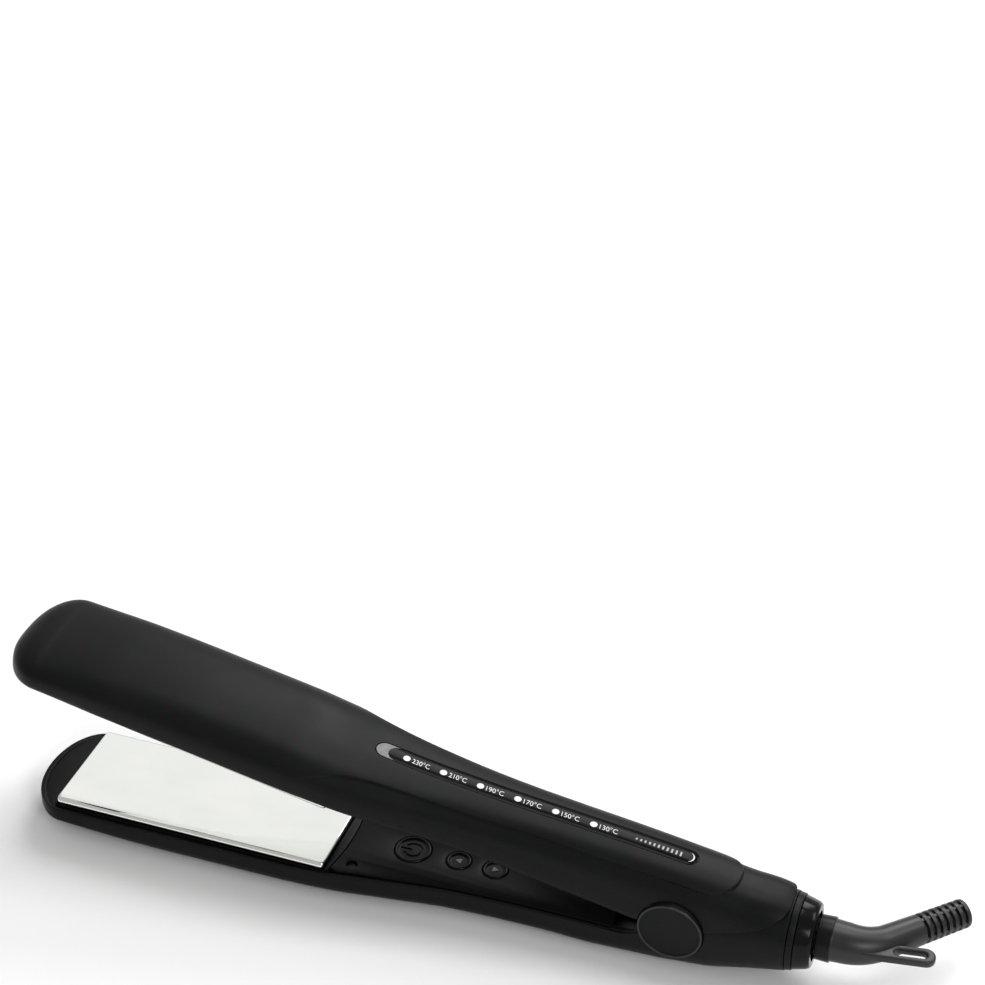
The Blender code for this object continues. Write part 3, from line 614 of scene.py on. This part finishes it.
def strip_solid(name, gap, top_over, deep, bevel=0.0):
    """The display strip's form, bent along the top of the arm."""
    front, end, half = WINDOW_FRONT - gap, WINDOW_END + gap, WINDOW_HALF + gap
    turn = [1 - math.cos(a) for a in spread(0.12, math.pi / 2, 14)]
    places = [front + half * t for t in turn] + spread(front + half, end - half, 60)[1:-1]
    places += [end - half * t for t in reversed(turn)]
    rows = []
    for x in places:
        near = min(x - front, end - x)
        y = half if near >= half else math.sqrt(half ** 2 - (half - near) ** 2)
        top = strip_top(x) + top_over
        b = min(bevel, y * 0.4)
        across = [(y, top - b), (y - b * 0.3, top - b * 0.3), (y - b, top)] if b else [(y, top)]
        ring = [(x, v, z) for v, z in across] + [(x, -v, z) for v, z in reversed(across)]
        rows.append(ring + [(x, -y, top - deep), (x, y, top - deep)])
    return from_bmesh(name, grid_mesh(rows), "upper")


def housings():
    lower = shell("lower_shell", "lower", LOWER_NOSE, [(2.0, 200, 1.6), (200, 246, 1.0), (246, TAIL_X, 0.5)])
    lower = subtract(lower, cap_cutter("lower"))
    ready(lower, "lower_arm", SOFT_TOUCH, "soft_touch_black", "lower_housing")
    upper = shell("upper_shell", "upper", UPPER_NOSE,
                  [(-7.0, 84, 1.8), (84, 221, 1.1), (221, 237, 0.28), (237, 248, 0.7), (248, 251.9, 0.3)])
    upper = subtract(upper, cap_cutter("upper"), strip_solid("strip_cutter", 0.15, 1.5, 3.0))
    ready(upper, "upper_arm", SOFT_TOUCH, "soft_touch_black", "upper_housing")


# Display

def bent_on_strip(obj, over):
    """Lays a flat mesh, drawn in plan in millimetres, on the display strip."""
    for vertex in obj.data.vertices:
        x, y, z = vertex.co
        vertex.co = (x, y, strip_top(x) + over + z)
    obj.data.transform(arm_matrix("upper"))
    return obj


def front_reflection_crescent():
    """The light crescent of painted reflection that fills the strip's round front, as far as the black end
    of the scale.
    """
    half, front = WINDOW_HALF - 0.3, WINDOW_FRONT + 0.3
    turns = spread(-math.pi / 2, math.pi / 2, 17)
    outer = [(front + half * (1 - math.cos(a)), half * math.sin(a)) for a in turns]
    inner = [(front + 4.2 + 3.4 * (1 - math.cos(a)), half * math.sin(a)) for a in reversed(turns)]
    return outer + inner


def rear_highlight_arc():
    """The thin round bracket of painted highlight at the strip's rear end, in the light print colour."""
    radius, x = WINDOW_HALF - 1.2, WINDOW_END - WINDOW_HALF - 0.1
    outer = [(x + radius * math.cos(a), radius * math.sin(a)) for a in spread(-1.25, 1.25, 17)]
    inner = [(x + (radius - 0.1) * math.cos(a) - 0.38 * math.cos(1.2 * a), (radius - 0.1) * math.sin(a))
             for a in spread(1.2, -1.2, 17)]
    return outer + inner


def flat_print(name, outline):
    bm = bmesh.new()
    bm.faces.new([bm.verts.new((x, y, 0)) for x, y in outline])
    bmesh.ops.triangulate(bm, faces=bm.faces)
    bmesh.ops.subdivide_edges(bm, edges=bm.edges, cuts=1)
    extruded = bmesh.ops.extrude_face_region(bm, geom=bm.faces[:])
    top = [v for v in extruded["geom"] if isinstance(v, bmesh.types.BMVert)]
    bmesh.ops.translate(bm, verts=top, vec=(0, 0, 0.03))
    bmesh.ops.recalc_face_normals(bm, faces=bm.faces)
    mesh = bpy.data.meshes.new(name)
    bm.to_mesh(mesh)
    bm.free()
    return new_object(name, mesh)


def label(name, text, x, width, size):
    """A printed temperature, whose letters run towards the cord."""
    data = bpy.data.curves.new(name, "FONT")
    data.body = text
    data.size = size
    data.shear = -0.15
    data.extrude = 0.015
    data.resolution_u = 6
    data.align_x = "LEFT"
    data.align_y = "CENTER"
    made = baked(new_object(name, data))
    xs = [v.co.x for v in made.data.vertices]
    ys = [v.co.y for v in made.data.vertices]
    scale = width / (max(xs) - min(xs))
    for vertex in made.data.vertices:
        vertex.co.x = x + (vertex.co.x - min(xs)) * scale
        vertex.co.y -= (max(ys) + min(ys)) / 2
    return made


def display():
    strip = strip_solid("display_strip", 0.0, 0.0, 1.6, 0.25)
    ready(strip, "upper_arm", STRIP, "gloss_black", "display_window")
    for i in range(LIGHT_COUNT):
        x = LIGHT_X + LIGHT_PITCH * i
        top = strip_top(x)
        slope = (strip_top(x + 1) - strip_top(x - 1)) / 2
        profile = [(0, 12.3), (LIGHT_R, 12.3), (LIGHT_R, top + 0.02), (LIGHT_R * 0.6, top + 0.09),
                   (0, top + 0.1)]
        lens = turned(f"light_dot_{i + 1}", profile, "Z", (0, 0, 0), 0.08, 48)
        lens.data.transform(arm_matrix("lower").inverted())
        for vertex in lens.data.vertices:
            vertex.co.z += vertex.co.x * slope
            vertex.co.x += x
        lens.data.transform(arm_matrix("upper"))
        ready(lens, "upper_arm", LENS, "light_pipe", f"indicator_light_{i + 1}")
        degrees = 230 - 20 * i
        words = label(f"temperature_{degrees}", f"{degrees}°C", x + 1.95, 6.35, 3.0)
        ready(bent_on_strip(words, 0.012), "upper_arm", PRINT, "light_pipe")
    bars = [(198.4 + 1.5 * i, 0.4 + 0.06 * i) for i in range(11)]
    for i, (x, half) in enumerate(bars):
        bar = flat_print(f"heat_scale_{i + 1}", [(x, -half), (x + 0.6, -half), (x + 0.6, half), (x, half)])
        ready(bent_on_strip(bar, 0.004), "upper_arm", SCALE_PRINT, "light_pipe")
    # The front crescent is painted reflection, a flat light piece standing in for light caught by the
    # strip's curved front.
    front = flat_print("strip_front_reflection", front_reflection_crescent())
    ready(bent_on_strip(front, 0.004), "upper_arm", GLINT, "light_pipe")
    # The rear bracket is painted highlight, standing in for the thin bright rim at the strip's rear end.
    rear = flat_print("strip_rear_highlight", rear_highlight_arc())
    ready(bent_on_strip(rear, 0.004), "upper_arm", PRINT, "light_pipe")


# Plates and inner covers

def heater_plate(arm):
    """The polished plate: flat face, rolled long edges, and rounded corners."""
    half, wall, turn = PLATE_HALF, 1.2, 1.3
    corner = [(half - turn + turn * math.sin(a), -turn + turn * math.cos(a))
              for a in spread(0, math.pi / 2, 13)]
    right = [(half * f, 0) for f in (0.2, 0.5, 0.8)] + corner
    right += [(half, -1.45), (half - 0.55, -PLATE_LIP), (half - wall, -PLATE_LIP),
              (half - wall, -PLATE_THICK)]
    section = right + [(-y, z) for y, z in reversed(right)]
    rows = []
    ends = [PLATE_CORNER * (1 - math.cos(a)) for a in spread(0, math.pi / 2, 12)]
    places = ends + spread(PLATE_CORNER + 1, PLATE_LENGTH - PLATE_CORNER - 1, 60)
    for x in places + [PLATE_LENGTH - e for e in ends[::-1]]:
        near = min(x, PLATE_LENGTH - x, PLATE_CORNER)
        inset = PLATE_CORNER - math.sqrt(near * (2 * PLATE_CORNER - near))
        drop = PLATE_SOFTENING * max(0.0, 1 - near / PLATE_SOFTENING) ** 2
        rows.append([(x, y * (1 - inset / half), z - drop if z > -1 else z) for y, z in section])
    if arm == "upper":
        rows = [[(x, y, CLOSED_GAP - z) for x, y, z in row] for row in rows]
    plate = from_bmesh(arm + "_plate_polished", grid_mesh(rows), arm)
    ready(plate, arm + "_plate", MIRROR, "mirror_plate", arm + "_heater_plate")


def rim_half(arm, end, inset):
    """The +Y half of an arm's rim in plan, from the nose to x = end, moved inwards."""
    form_of = upper_form if arm == "upper" else lower_form
    nose_end = (UPPER_NOSE if arm == "upper" else LOWER_NOSE) + NOSE_RUN
    stations = [(nose_end - NOSE_RUN * math.cos(t), math.sin(t)) for t in spread(0.01, math.pi / 2, 48)]
    if end > nose_end:
        stations += [(x, 1.0) for x in spread(nose_end, end + 2, max(3, round((end - nose_end) / 2)))[1:]]
    points = []
    for x, full in stations:
        form = form_of(x, full)
        points.append(section_point(x, form, rim_angle(form, 0))[:2])
    line = np.array(points)
    way = unit(np.gradient(line, axis=0))
    moved = line + inset * np.column_stack((way[:, 1], -way[:, 0]))
    return [(float(x), float(y)) for x, y in moved if y > 0.02 and x < end]


def both_sides(half):
    """A clockwise outline from its +Y half, which runs in +X."""
    return half + [(x, -y) for x, y in reversed(half)]


def on_level(arm, low, high):
    """A pair of heights over the lower plate, mirrored for the upper arm."""
    return (CLOSED_GAP - high, CLOSED_GAP - low) if arm == "upper" else (low, high)


def bow(front, half):
    """A bowed cross edge from -Y to +Y, furthest along +X in the middle."""
    return [(front - COVER_BOW * (y / half) ** 2, y) for y in spread(-half, half, 33)]


def holder(arm):
    """The tray under the plate, the crescent before it and the strip behind it."""
    body, node = arm + "_arm", arm + "_plate_holder"
    half, front, rear = TRAY_HALF, -TRAY_GAP, PLATE_LENGTH + TRAY_GAP
    tray = [(front, half), (rear, half), (rear, -half), (front, -half)]
    pocket = [(4, -TRAY_POCKET), (96, -TRAY_POCKET), (96, TRAY_POCKET), (4, TRAY_POCKET)]
    floor = flat_piece(arm + "_tray_floor", [tray], *on_level(arm, -7.2, -6.3), 0.1, arm)
    ready(floor, body, HOLDER, "heat_resistant_black", node)
    walls = flat_piece(arm + "_tray_walls", [tray, pocket], *on_level(arm, -6.35, -3.9), 0.2, arm)
    ready(walls, body, HOLDER, "heat_resistant_black")
    edge = NOSE_ARC_HALF
    arc = [(front - 0.1 - NOSE_ARC_DEEP * (1 - (y / edge) ** 2) ** 0.8, y)
           for y in spread(-edge, edge, 49)]
    nose = rim_half(arm, front, WALL - 0.7)
    land = both_sides([*nose, (front, nose[-1][1])])
    middle = len(land) // 2
    land = land[:middle] + arc[::-1] + land[middle:]
    made = flat_piece(arm + "_nose_land", [land], *on_level(arm, -5.4, -3.3), 0.12, arm)
    ready(made, body, SOFT_TOUCH, "soft_touch_black")
    lens = [(x + 0.18, y) for x, y in arc if abs(y) < edge - 0.1]
    crescent = [(front, lens[-1][1]), (front, lens[0][1]), *lens]
    made = flat_piece(arm + "_front_crescent", [crescent], *on_level(arm, -5.4, -2.8), 0.2, arm)
    ready(made, body, HOLDER, "heat_resistant_black")
    back = bow(COVER_FRONT - FIT, half)
    strip = [(rear, half), *back[::-1], (rear, -half)]
    made = flat_piece(arm + "_rear_strip", [strip], *on_level(arm, -5.4, COVER_TOP), 0.25, arm)
    ready(made, body, HOLDER, "heat_resistant_black")


def circle(x, y, radius):
    return [(x + radius * math.cos(a), y + radius * math.sin(a)) for a in spread(0, 2 * math.pi, 49)[:-1]]


def inner_cover(arm):
    side = [(x, y) for x, y in rim_half(arm, COVER_END, WALL + 0.25) if x > COVER_FRONT]
    half = side[0][1]
    outline = both_sides(side) + bow(COVER_FRONT, half)[1:-1]
    holes = [circle(SCREW_X, y, SCREW_HOLE_R) for y in (-SCREW_Y, SCREW_Y)]
    if arm == "lower":
        holes += [circle(x, 0, radius + KEY_GAP)
                  for x, radius in ((POWER_X, POWER_R), (UP_X, SMALL_R), (DOWN_X, SMALL_R))]
    cover = flat_piece(arm + "_cover_fine", [outline, *holes], *on_level(arm, COVER_UNDER, COVER_TOP), 0.3,
                       arm)
    ready(cover, arm + "_arm", SOFT_TOUCH, "soft_touch_black", arm + "_inner_cover")


def hinge_frames():
    for arm in ("lower", "upper"):
        node = arm + "_hinge_frame"
        # The frames' near-black colour is painted shade for the recess between the arms at the hinge.
        ready(refined(node, 0.2), arm + "_arm", RECESS_SHADE_STEEL, "black_steel", node)


def carried_over():
    """CAD nodes that stay as they are, mostly inside, with a finish of their own."""
    looks = {"steel": STEEL, "brass": BRASS, "ceramic_white": CERAMIC, "silicone_red": SILICONE,
             "circuit_board": BOARD, "switch_black": SATIN, "heat_resistant_black": HOLDER,
             "lead_sleeve": SHADED_SLEEVE, "gloss_black": GLOSS, "soft_touch_black": SOFT_TOUCH,
             "light_pipe": LENS, "rubber_black": RUBBER, "mirror_plate": MIRROR,
             "black_steel": RECESS_SHADE_STEEL}
    for part in frame["record"]["subparts"]:
        node = frame["nodes"][part["node"]]
        if node.hide_render:
            continue
        if not node.material_slots:
            node.data.materials.append(None)
        for place in node.material_slots:
            place.material = looks[part["material_slot"]]


# Buttons

def arc_band(radius, width, start, end):
    """The outline of a round stroke between two angles, with square ends."""
    outer = [((radius + width / 2) * math.cos(a), (radius + width / 2) * math.sin(a))
             for a in spread(start, end, 40)]
    inner = [((radius - width / 2) * math.cos(a), (radius - width / 2) * math.sin(a))
             for a in spread(end, start, 40)]
    return outer + inner


def prism(name, outline, low, high, x):
    rows = [[(x + u, v, z) for u, v in outline] for z in (low, high)]
    return from_bmesh(name, grid_mesh(rows))


def key(name, x, radius, cuts=()):
    """A round key on its own body: rolled rim, sloping wall and a dished middle with its sign cut in."""
    face, dish, foot = KEY_FACE, KEY_DISH, radius + 0.8
    profile = [(0, -5.0), (foot, -5.0), (foot, -4.5), (radius, -4.5), (radius, face - 0.35),
               (radius - 0.35, face), (radius - 0.8, face), (radius - 1.45, dish), (0, dish + 0.12)]
    made = turned(name, profile, "Z", (x, 0, 0), 0.25, 96)
    if cuts:
        made = subtract(made, *[prism("key_cutter", c, dish - 0.4, 0, x) for c in cuts])
    ready(made, name, SATIN, "gloss_black", name.replace("_key", "_button"))


def buttons():
    gap = 0.5
    ring = arc_band(3.0, 0.85, -math.pi + gap, math.pi - gap)
    bar = [(-4.6, -0.42), (-0.4, -0.42), (-0.4, 0.42), (-4.6, 0.42)]
    key("power_key", POWER_X, POWER_R, (ring, bar))
    for name, x, way in (("temp_up_key", UP_X, -1), ("temp_down_key", DOWN_X, 1)):
        key(name, x, SMALL_R)
        point = [(way * 1.25, 0), (-way * 0.85, 1.15), (-way * 0.85, -1.15)]
        sign = prism(name + "_arrow", point, -2.5, -2.1, x)
        ready(sign, name, DIM_PRINT, "light_pipe")


# Hinge, tail and boot

def hinge_caps():
    for side, way in (("near", -1), ("far", 1)):
        rim = [(0, 11.8), (CAP_R, 11.8), (CAP_R, CAP_FACE - 0.35), (CAP_R - 0.35, CAP_FACE),
               (CAP_R - 0.75, CAP_FACE), (CAP_R - 1.05, CAP_FACE - 0.3), (CAP_R - 2.4, CAP_FACE - 0.24),
               (0, CAP_FACE - 0.16)]
        cap = turned(f"hinge_cap_{side}_fine", [(r, way * h) for r, h in rim], "Y", (HINGE_X, 0, HINGE_Z),
                     0.12, 128)
        ready(cap, "lower_arm", SOFT_TOUCH, "gloss_black", f"hinge_cap_{side}")
        low, high = CAP_FACE - 0.3, CAP_FACE + 0.12
        bead = [(CAP_R - 0.75, low), (CAP_R - 0.75, high), (CAP_R - 0.1, high), (CAP_R - 0.1, low)]
        ring = turned(f"hinge_cap_bead_{side}", [(r, way * h) for r, h in bead], "Y",
                      (HINGE_X, 0, HINGE_Z), 0.2, 128)
        # The bead's lighter colour is painted highlight along the cap's rim.
        ready(ring, "lower_arm", RIM_HIGHLIGHT, "gloss_black")


def spring_and_leads():
    turns, radius, half, per_turn = 3, 4.4, 2.4, 24
    coil = []
    for i in range(turns * per_turn + 1):
        angle = math.radians(100) + 2 * math.pi * i / per_turn
        coil.append((HINGE_X + radius * math.cos(angle), -half + 2 * half * i / (turns * per_turn),
                     HINGE_Z + radius * math.sin(angle)))
    first = (coil[0][0] - 9.5, coil[0][1], coil[0][2] + 3.0)
    last = (coil[-1][0] - 9.0, coil[-1][1], coil[-1][2] + 1.0)
    spring = tube("opening_spring_fine", [first, *coil, last], 0.55)
    ready(spring, "lower_arm", STEEL, "steel", "opening_spring")
    for side, y in (("live", -8.6), ("neutral", 8.6)):
        route = [(190.6, y * 0.6, -8.6), (198, y * 0.9, -7.2), (206, y, -6.0), (219, y, -5.6),
                 (228, y * 0.85, -5.8), (234, y * 0.4, -6.9)]
        # The near-black sleeve colour is painted shade for the hinge recess.
        lead = tube(f"supply_lead_{side}_fine", route, 0.7)
        ready(lead, "lower_arm", SHADED_SLEEVE, "lead_sleeve", f"supply_lead_{side}")


def tail():
    axis = (0, 0, TAIL_Z)
    collar = [(TAIL_BORE_R, TAIL_X + 0.2), (TAIL_R - 0.2, TAIL_X + 0.2), (TAIL_R - 0.5, TAIL_X + 2.3),
              (TAIL_BORE_R, TAIL_X + 2.3)]
    ready(turned("tail_collar_fine", collar, "X", axis, 0.25, 128), "lower_arm", SOFT_TOUCH,
          "soft_touch_black", "tail_collar")
    band = [(TAIL_BORE_R, TAIL_X + 2.5), (TAIL_R - 0.8, TAIL_X + 2.5), (TAIL_R - 1.9, SWIVEL_X - 1.3),
            (TAIL_R - 2.6, SWIVEL_X - 0.2), (TAIL_BORE_R, SWIVEL_X - 0.2)]
    ready(turned("tail_band_fine", band, "X", axis, 0.35, 128), "lower_arm", GLOSS, "gloss_black",
          "tail_band")


def boot_place(s):
    """Position in plan and heading at a run s along the boot's centre line."""
    bend_run = BOOT_BEND_R * BOOT_BEND
    if s <= BOOT_STRAIGHT:
        return BOOT_START + s, 0.0, 0.0
    angle = min(BOOT_BEND, (s - BOOT_STRAIGHT) / BOOT_BEND_R)
    x = BOOT_START + BOOT_STRAIGHT + BOOT_BEND_R * math.sin(angle)
    y = BOOT_BEND_R * (1 - math.cos(angle))
    more = max(0.0, s - BOOT_STRAIGHT - bend_run)
    return x + more * math.cos(angle), y + more * math.sin(angle), angle


def groove_depth(run):
    """How deep the nearest slot between two ribs is, `run` along the ribbed stretch."""
    place = (run - RIB_START) / RIB_PITCH
    if not 0 <= place < RIB_COUNT:
        return 0.0
    t = (place % 1.0) * RIB_PITCH
    return RIB_DEPTH * ease((t + 0.02) / 0.14) * (1 - ease((t - RIB_SLOT + 0.12) / 0.14))


def web_share(turn):
    """1 where a web bridges the slots: four of them round the boot, one near its top."""
    off = abs((math.degrees(turn) - 5.0) % 90.0 - 45.0)
    return ease((off - 34.0) / 4.0)


def boot_point(s, turn, radius):
    """A point at a turn round the boot's centre line, which is pi/2 at its top."""
    x, y, heading = boot_place(s)
    out = radius * math.cos(turn)
    return (x - out * math.sin(heading), y + out * math.cos(heading), TAIL_Z + radius * math.sin(turn))


def boot():
    bend_end = BOOT_STRAIGHT + BOOT_BEND_R * BOOT_BEND
    ribs = bend_end + RIB_START
    end = ribs + RIB_PITCH * RIB_COUNT
    body = ((0, 7.0), (4.75, 7.0), (5.1, 6.95), (5.3, 6.9), (5.9, 6.85), (BOOT_STRAIGHT, 6.7),
            (bend_end - 5, 5.85), (bend_end, 5.4), (ribs - 0.8, RIB_R), (end - 0.4, RIB_R - 0.22),
            (end, RIB_R - 0.3), (end + 0.3, RIB_R - 0.5), (end + 0.5, RIB_R - 0.9))
    places = [0, 0.1] + spread(0.4, 4.6, 8) + [4.75, 4.9, 5.0, 5.1, 5.2, 5.3, 5.45, 5.6, 5.9, 6.2]
    places += spread(6.6, ribs - 0.3, 70) + spread(ribs - 0.1, end - 0.5, 190)
    places += [end + v for v in (-0.4, -0.3, -0.15, 0, 0.1, 0.2, 0.3, 0.4, 0.46, 0.5)]
    rows = []
    for s in places:
        radius = straight(body, s) - (0.25 if s == 0 else 0.0)
        groove = groove_depth(s - bend_end)
        rows.append([boot_point(s, a, radius - groove * (1 - 0.7 * web_share(a)))
                     for a in (2 * math.pi * i / RING_STEPS for i in range(RING_STEPS))])
    made = from_bmesh("cord_boot", grid_mesh(rows), "lower", 45)
    x, y, heading = boot_place(end + 0.5)
    mouth = turned("mouth_cutter", [(0, -14), (CORD_R, -14), (CORD_R, -0.5), (CORD_R + 0.5, 0.1), (0, 3)],
                   "X", (0, 0, 0), 0.02, 64)
    mouth.data.transform(arm_matrix("lower").inverted())
    mouth.data.transform(arm_matrix("lower") @ Matrix.Translation((x, y, TAIL_Z))
                         @ Matrix.Rotation(heading, 4, "Z"))
    ready(subtract(made, mouth), "cord_swivel", RUBBER, "rubber_black", "strain_relief_boot")
    head = [(6.2, 0.1), (7.3, 0.1), (7.5, 4.9), (6.2, 4.9)]
    ring = turned("boot_head_ring", head, "X", (BOOT_START, 0, TAIL_Z), 0.25, 96)
    ready(ring, "cord_swivel", SATIN, "rubber_black")


def in_loop(points):
    """Turns and moves a flat outline to where the hanging loop leaves the boot."""
    c, s = math.cos(LOOP_TURN), math.sin(LOOP_TURN)
    return [(LOOP_ROOT[0] + u * c - v * s, LOOP_ROOT[1] + u * s + v * c) for u, v in points]


def hanging_loop():
    quarter = math.pi / 2

    def end(x, radius, start, stop, count):
        return [(x + radius * math.cos(a), radius * math.sin(a)) for a in spread(start, stop, count)]

    outline = [(LOOP_BACK, LOOP_HALF), *end(LOOP_LENGTH, LOOP_HALF, quarter, -quarter, 33),
               (LOOP_BACK, -LOOP_HALF)]
    hole = end(LOOP_HOLE_START, LOOP_HOLE_HALF, quarter, 3 * quarter, 21)
    hole += end(LOOP_HOLE_END, LOOP_HOLE_HALF, -quarter, quarter, 21)
    loop = flat_piece("hanging_loop", [in_loop(outline), in_loop(hole)], LOOP_Z - LOOP_THICK / 2,
                      LOOP_Z + LOOP_THICK / 2, 0.75)
    ready(loop, "cord_swivel", RUBBER, "rubber_black")


housings()
display()
for side_name in ("lower", "upper"):
    heater_plate(side_name)
    holder(side_name)
    inner_cover(side_name)
hinge_frames()
buttons()
hinge_caps()
spring_and_leads()
tail()
boot()
hanging_loop()
carried_over()


# Studio

def studio():
    floor_bm = bmesh.new()
    bmesh.ops.create_grid(floor_bm, x_segments=1, y_segments=1, size=6.0)
    floor_mesh = bpy.data.meshes.new("studio_floor")
    floor_bm.to_mesh(floor_mesh)
    floor_bm.free()
    floor = new_object("studio_floor", floor_mesh)
    n = Nodes("studio_floor", 0.0, 0.2)
    n.colours(n.noise(400), (0.90, 0.90, 0.90), (0.91, 0.91, 0.91))
    n.shader.inputs["Roughness"].default_value = 0.8
    floor_mesh.materials.append(n.material)
    world = bpy.data.worlds.new("studio")
    world.use_nodes = True
    world.node_tree.nodes["Background"].inputs["Color"].default_value = (1.0, 1.0, 0.995, 1)
    world.node_tree.nodes["Background"].inputs["Strength"].default_value = 0.5
    bpy.context.scene.world = world
    lamps = [("softbox_plate", (-0.66, 1.35, 0.98), (-0.1, 0.0, 0.0), 0.7, 0.75),
             ("softbox_back", (0.10, 1.30, 1.20), (0.02, 0.0, 0.0), 0.75, 10.5),
             ("softbox_right", (0.84, -0.80, 0.85), (0.13, 0.0, 0.0), 0.4, 5.2),
             ("softbox_top", (0.10, 0.45, 1.6), (0.02, 0.0, 0.0), 0.6, 7.0),
             ("softbox_hood", (0.95, 0.55, 1.1), (0.1, 0.0, 0.0), 0.6, 6.5)]
    for name, at, towards, size, power in lamps:
        light = bpy.data.lights.new(name, "AREA")
        light.shape = "SQUARE"
        light.size = size
        light.energy = power
        lamp = new_object(name, light)
        lamp.location = at
        lamp.rotation_euler = (Vector(towards) - Vector(at)).to_track_quat("-Z", "Y").to_euler()


def camera():
    data = bpy.data.cameras.new("camera")
    data.lens = 85.01
    data.sensor_width = 36.0
    data.clip_start = 0.01
    made = new_object("camera", data)
    made.location = [(p + d) * MM for p, d in zip((347.3, -543.955, 536.5), DATUM)]
    azimuth, elevation = math.radians(19.603), math.radians(33.82)
    made.rotation_euler = (math.pi / 2 - elevation, 0, azimuth)
    bpy.context.scene.camera = made


studio()
camera()
bpy.context.scene.view_settings.view_transform = "Standard"
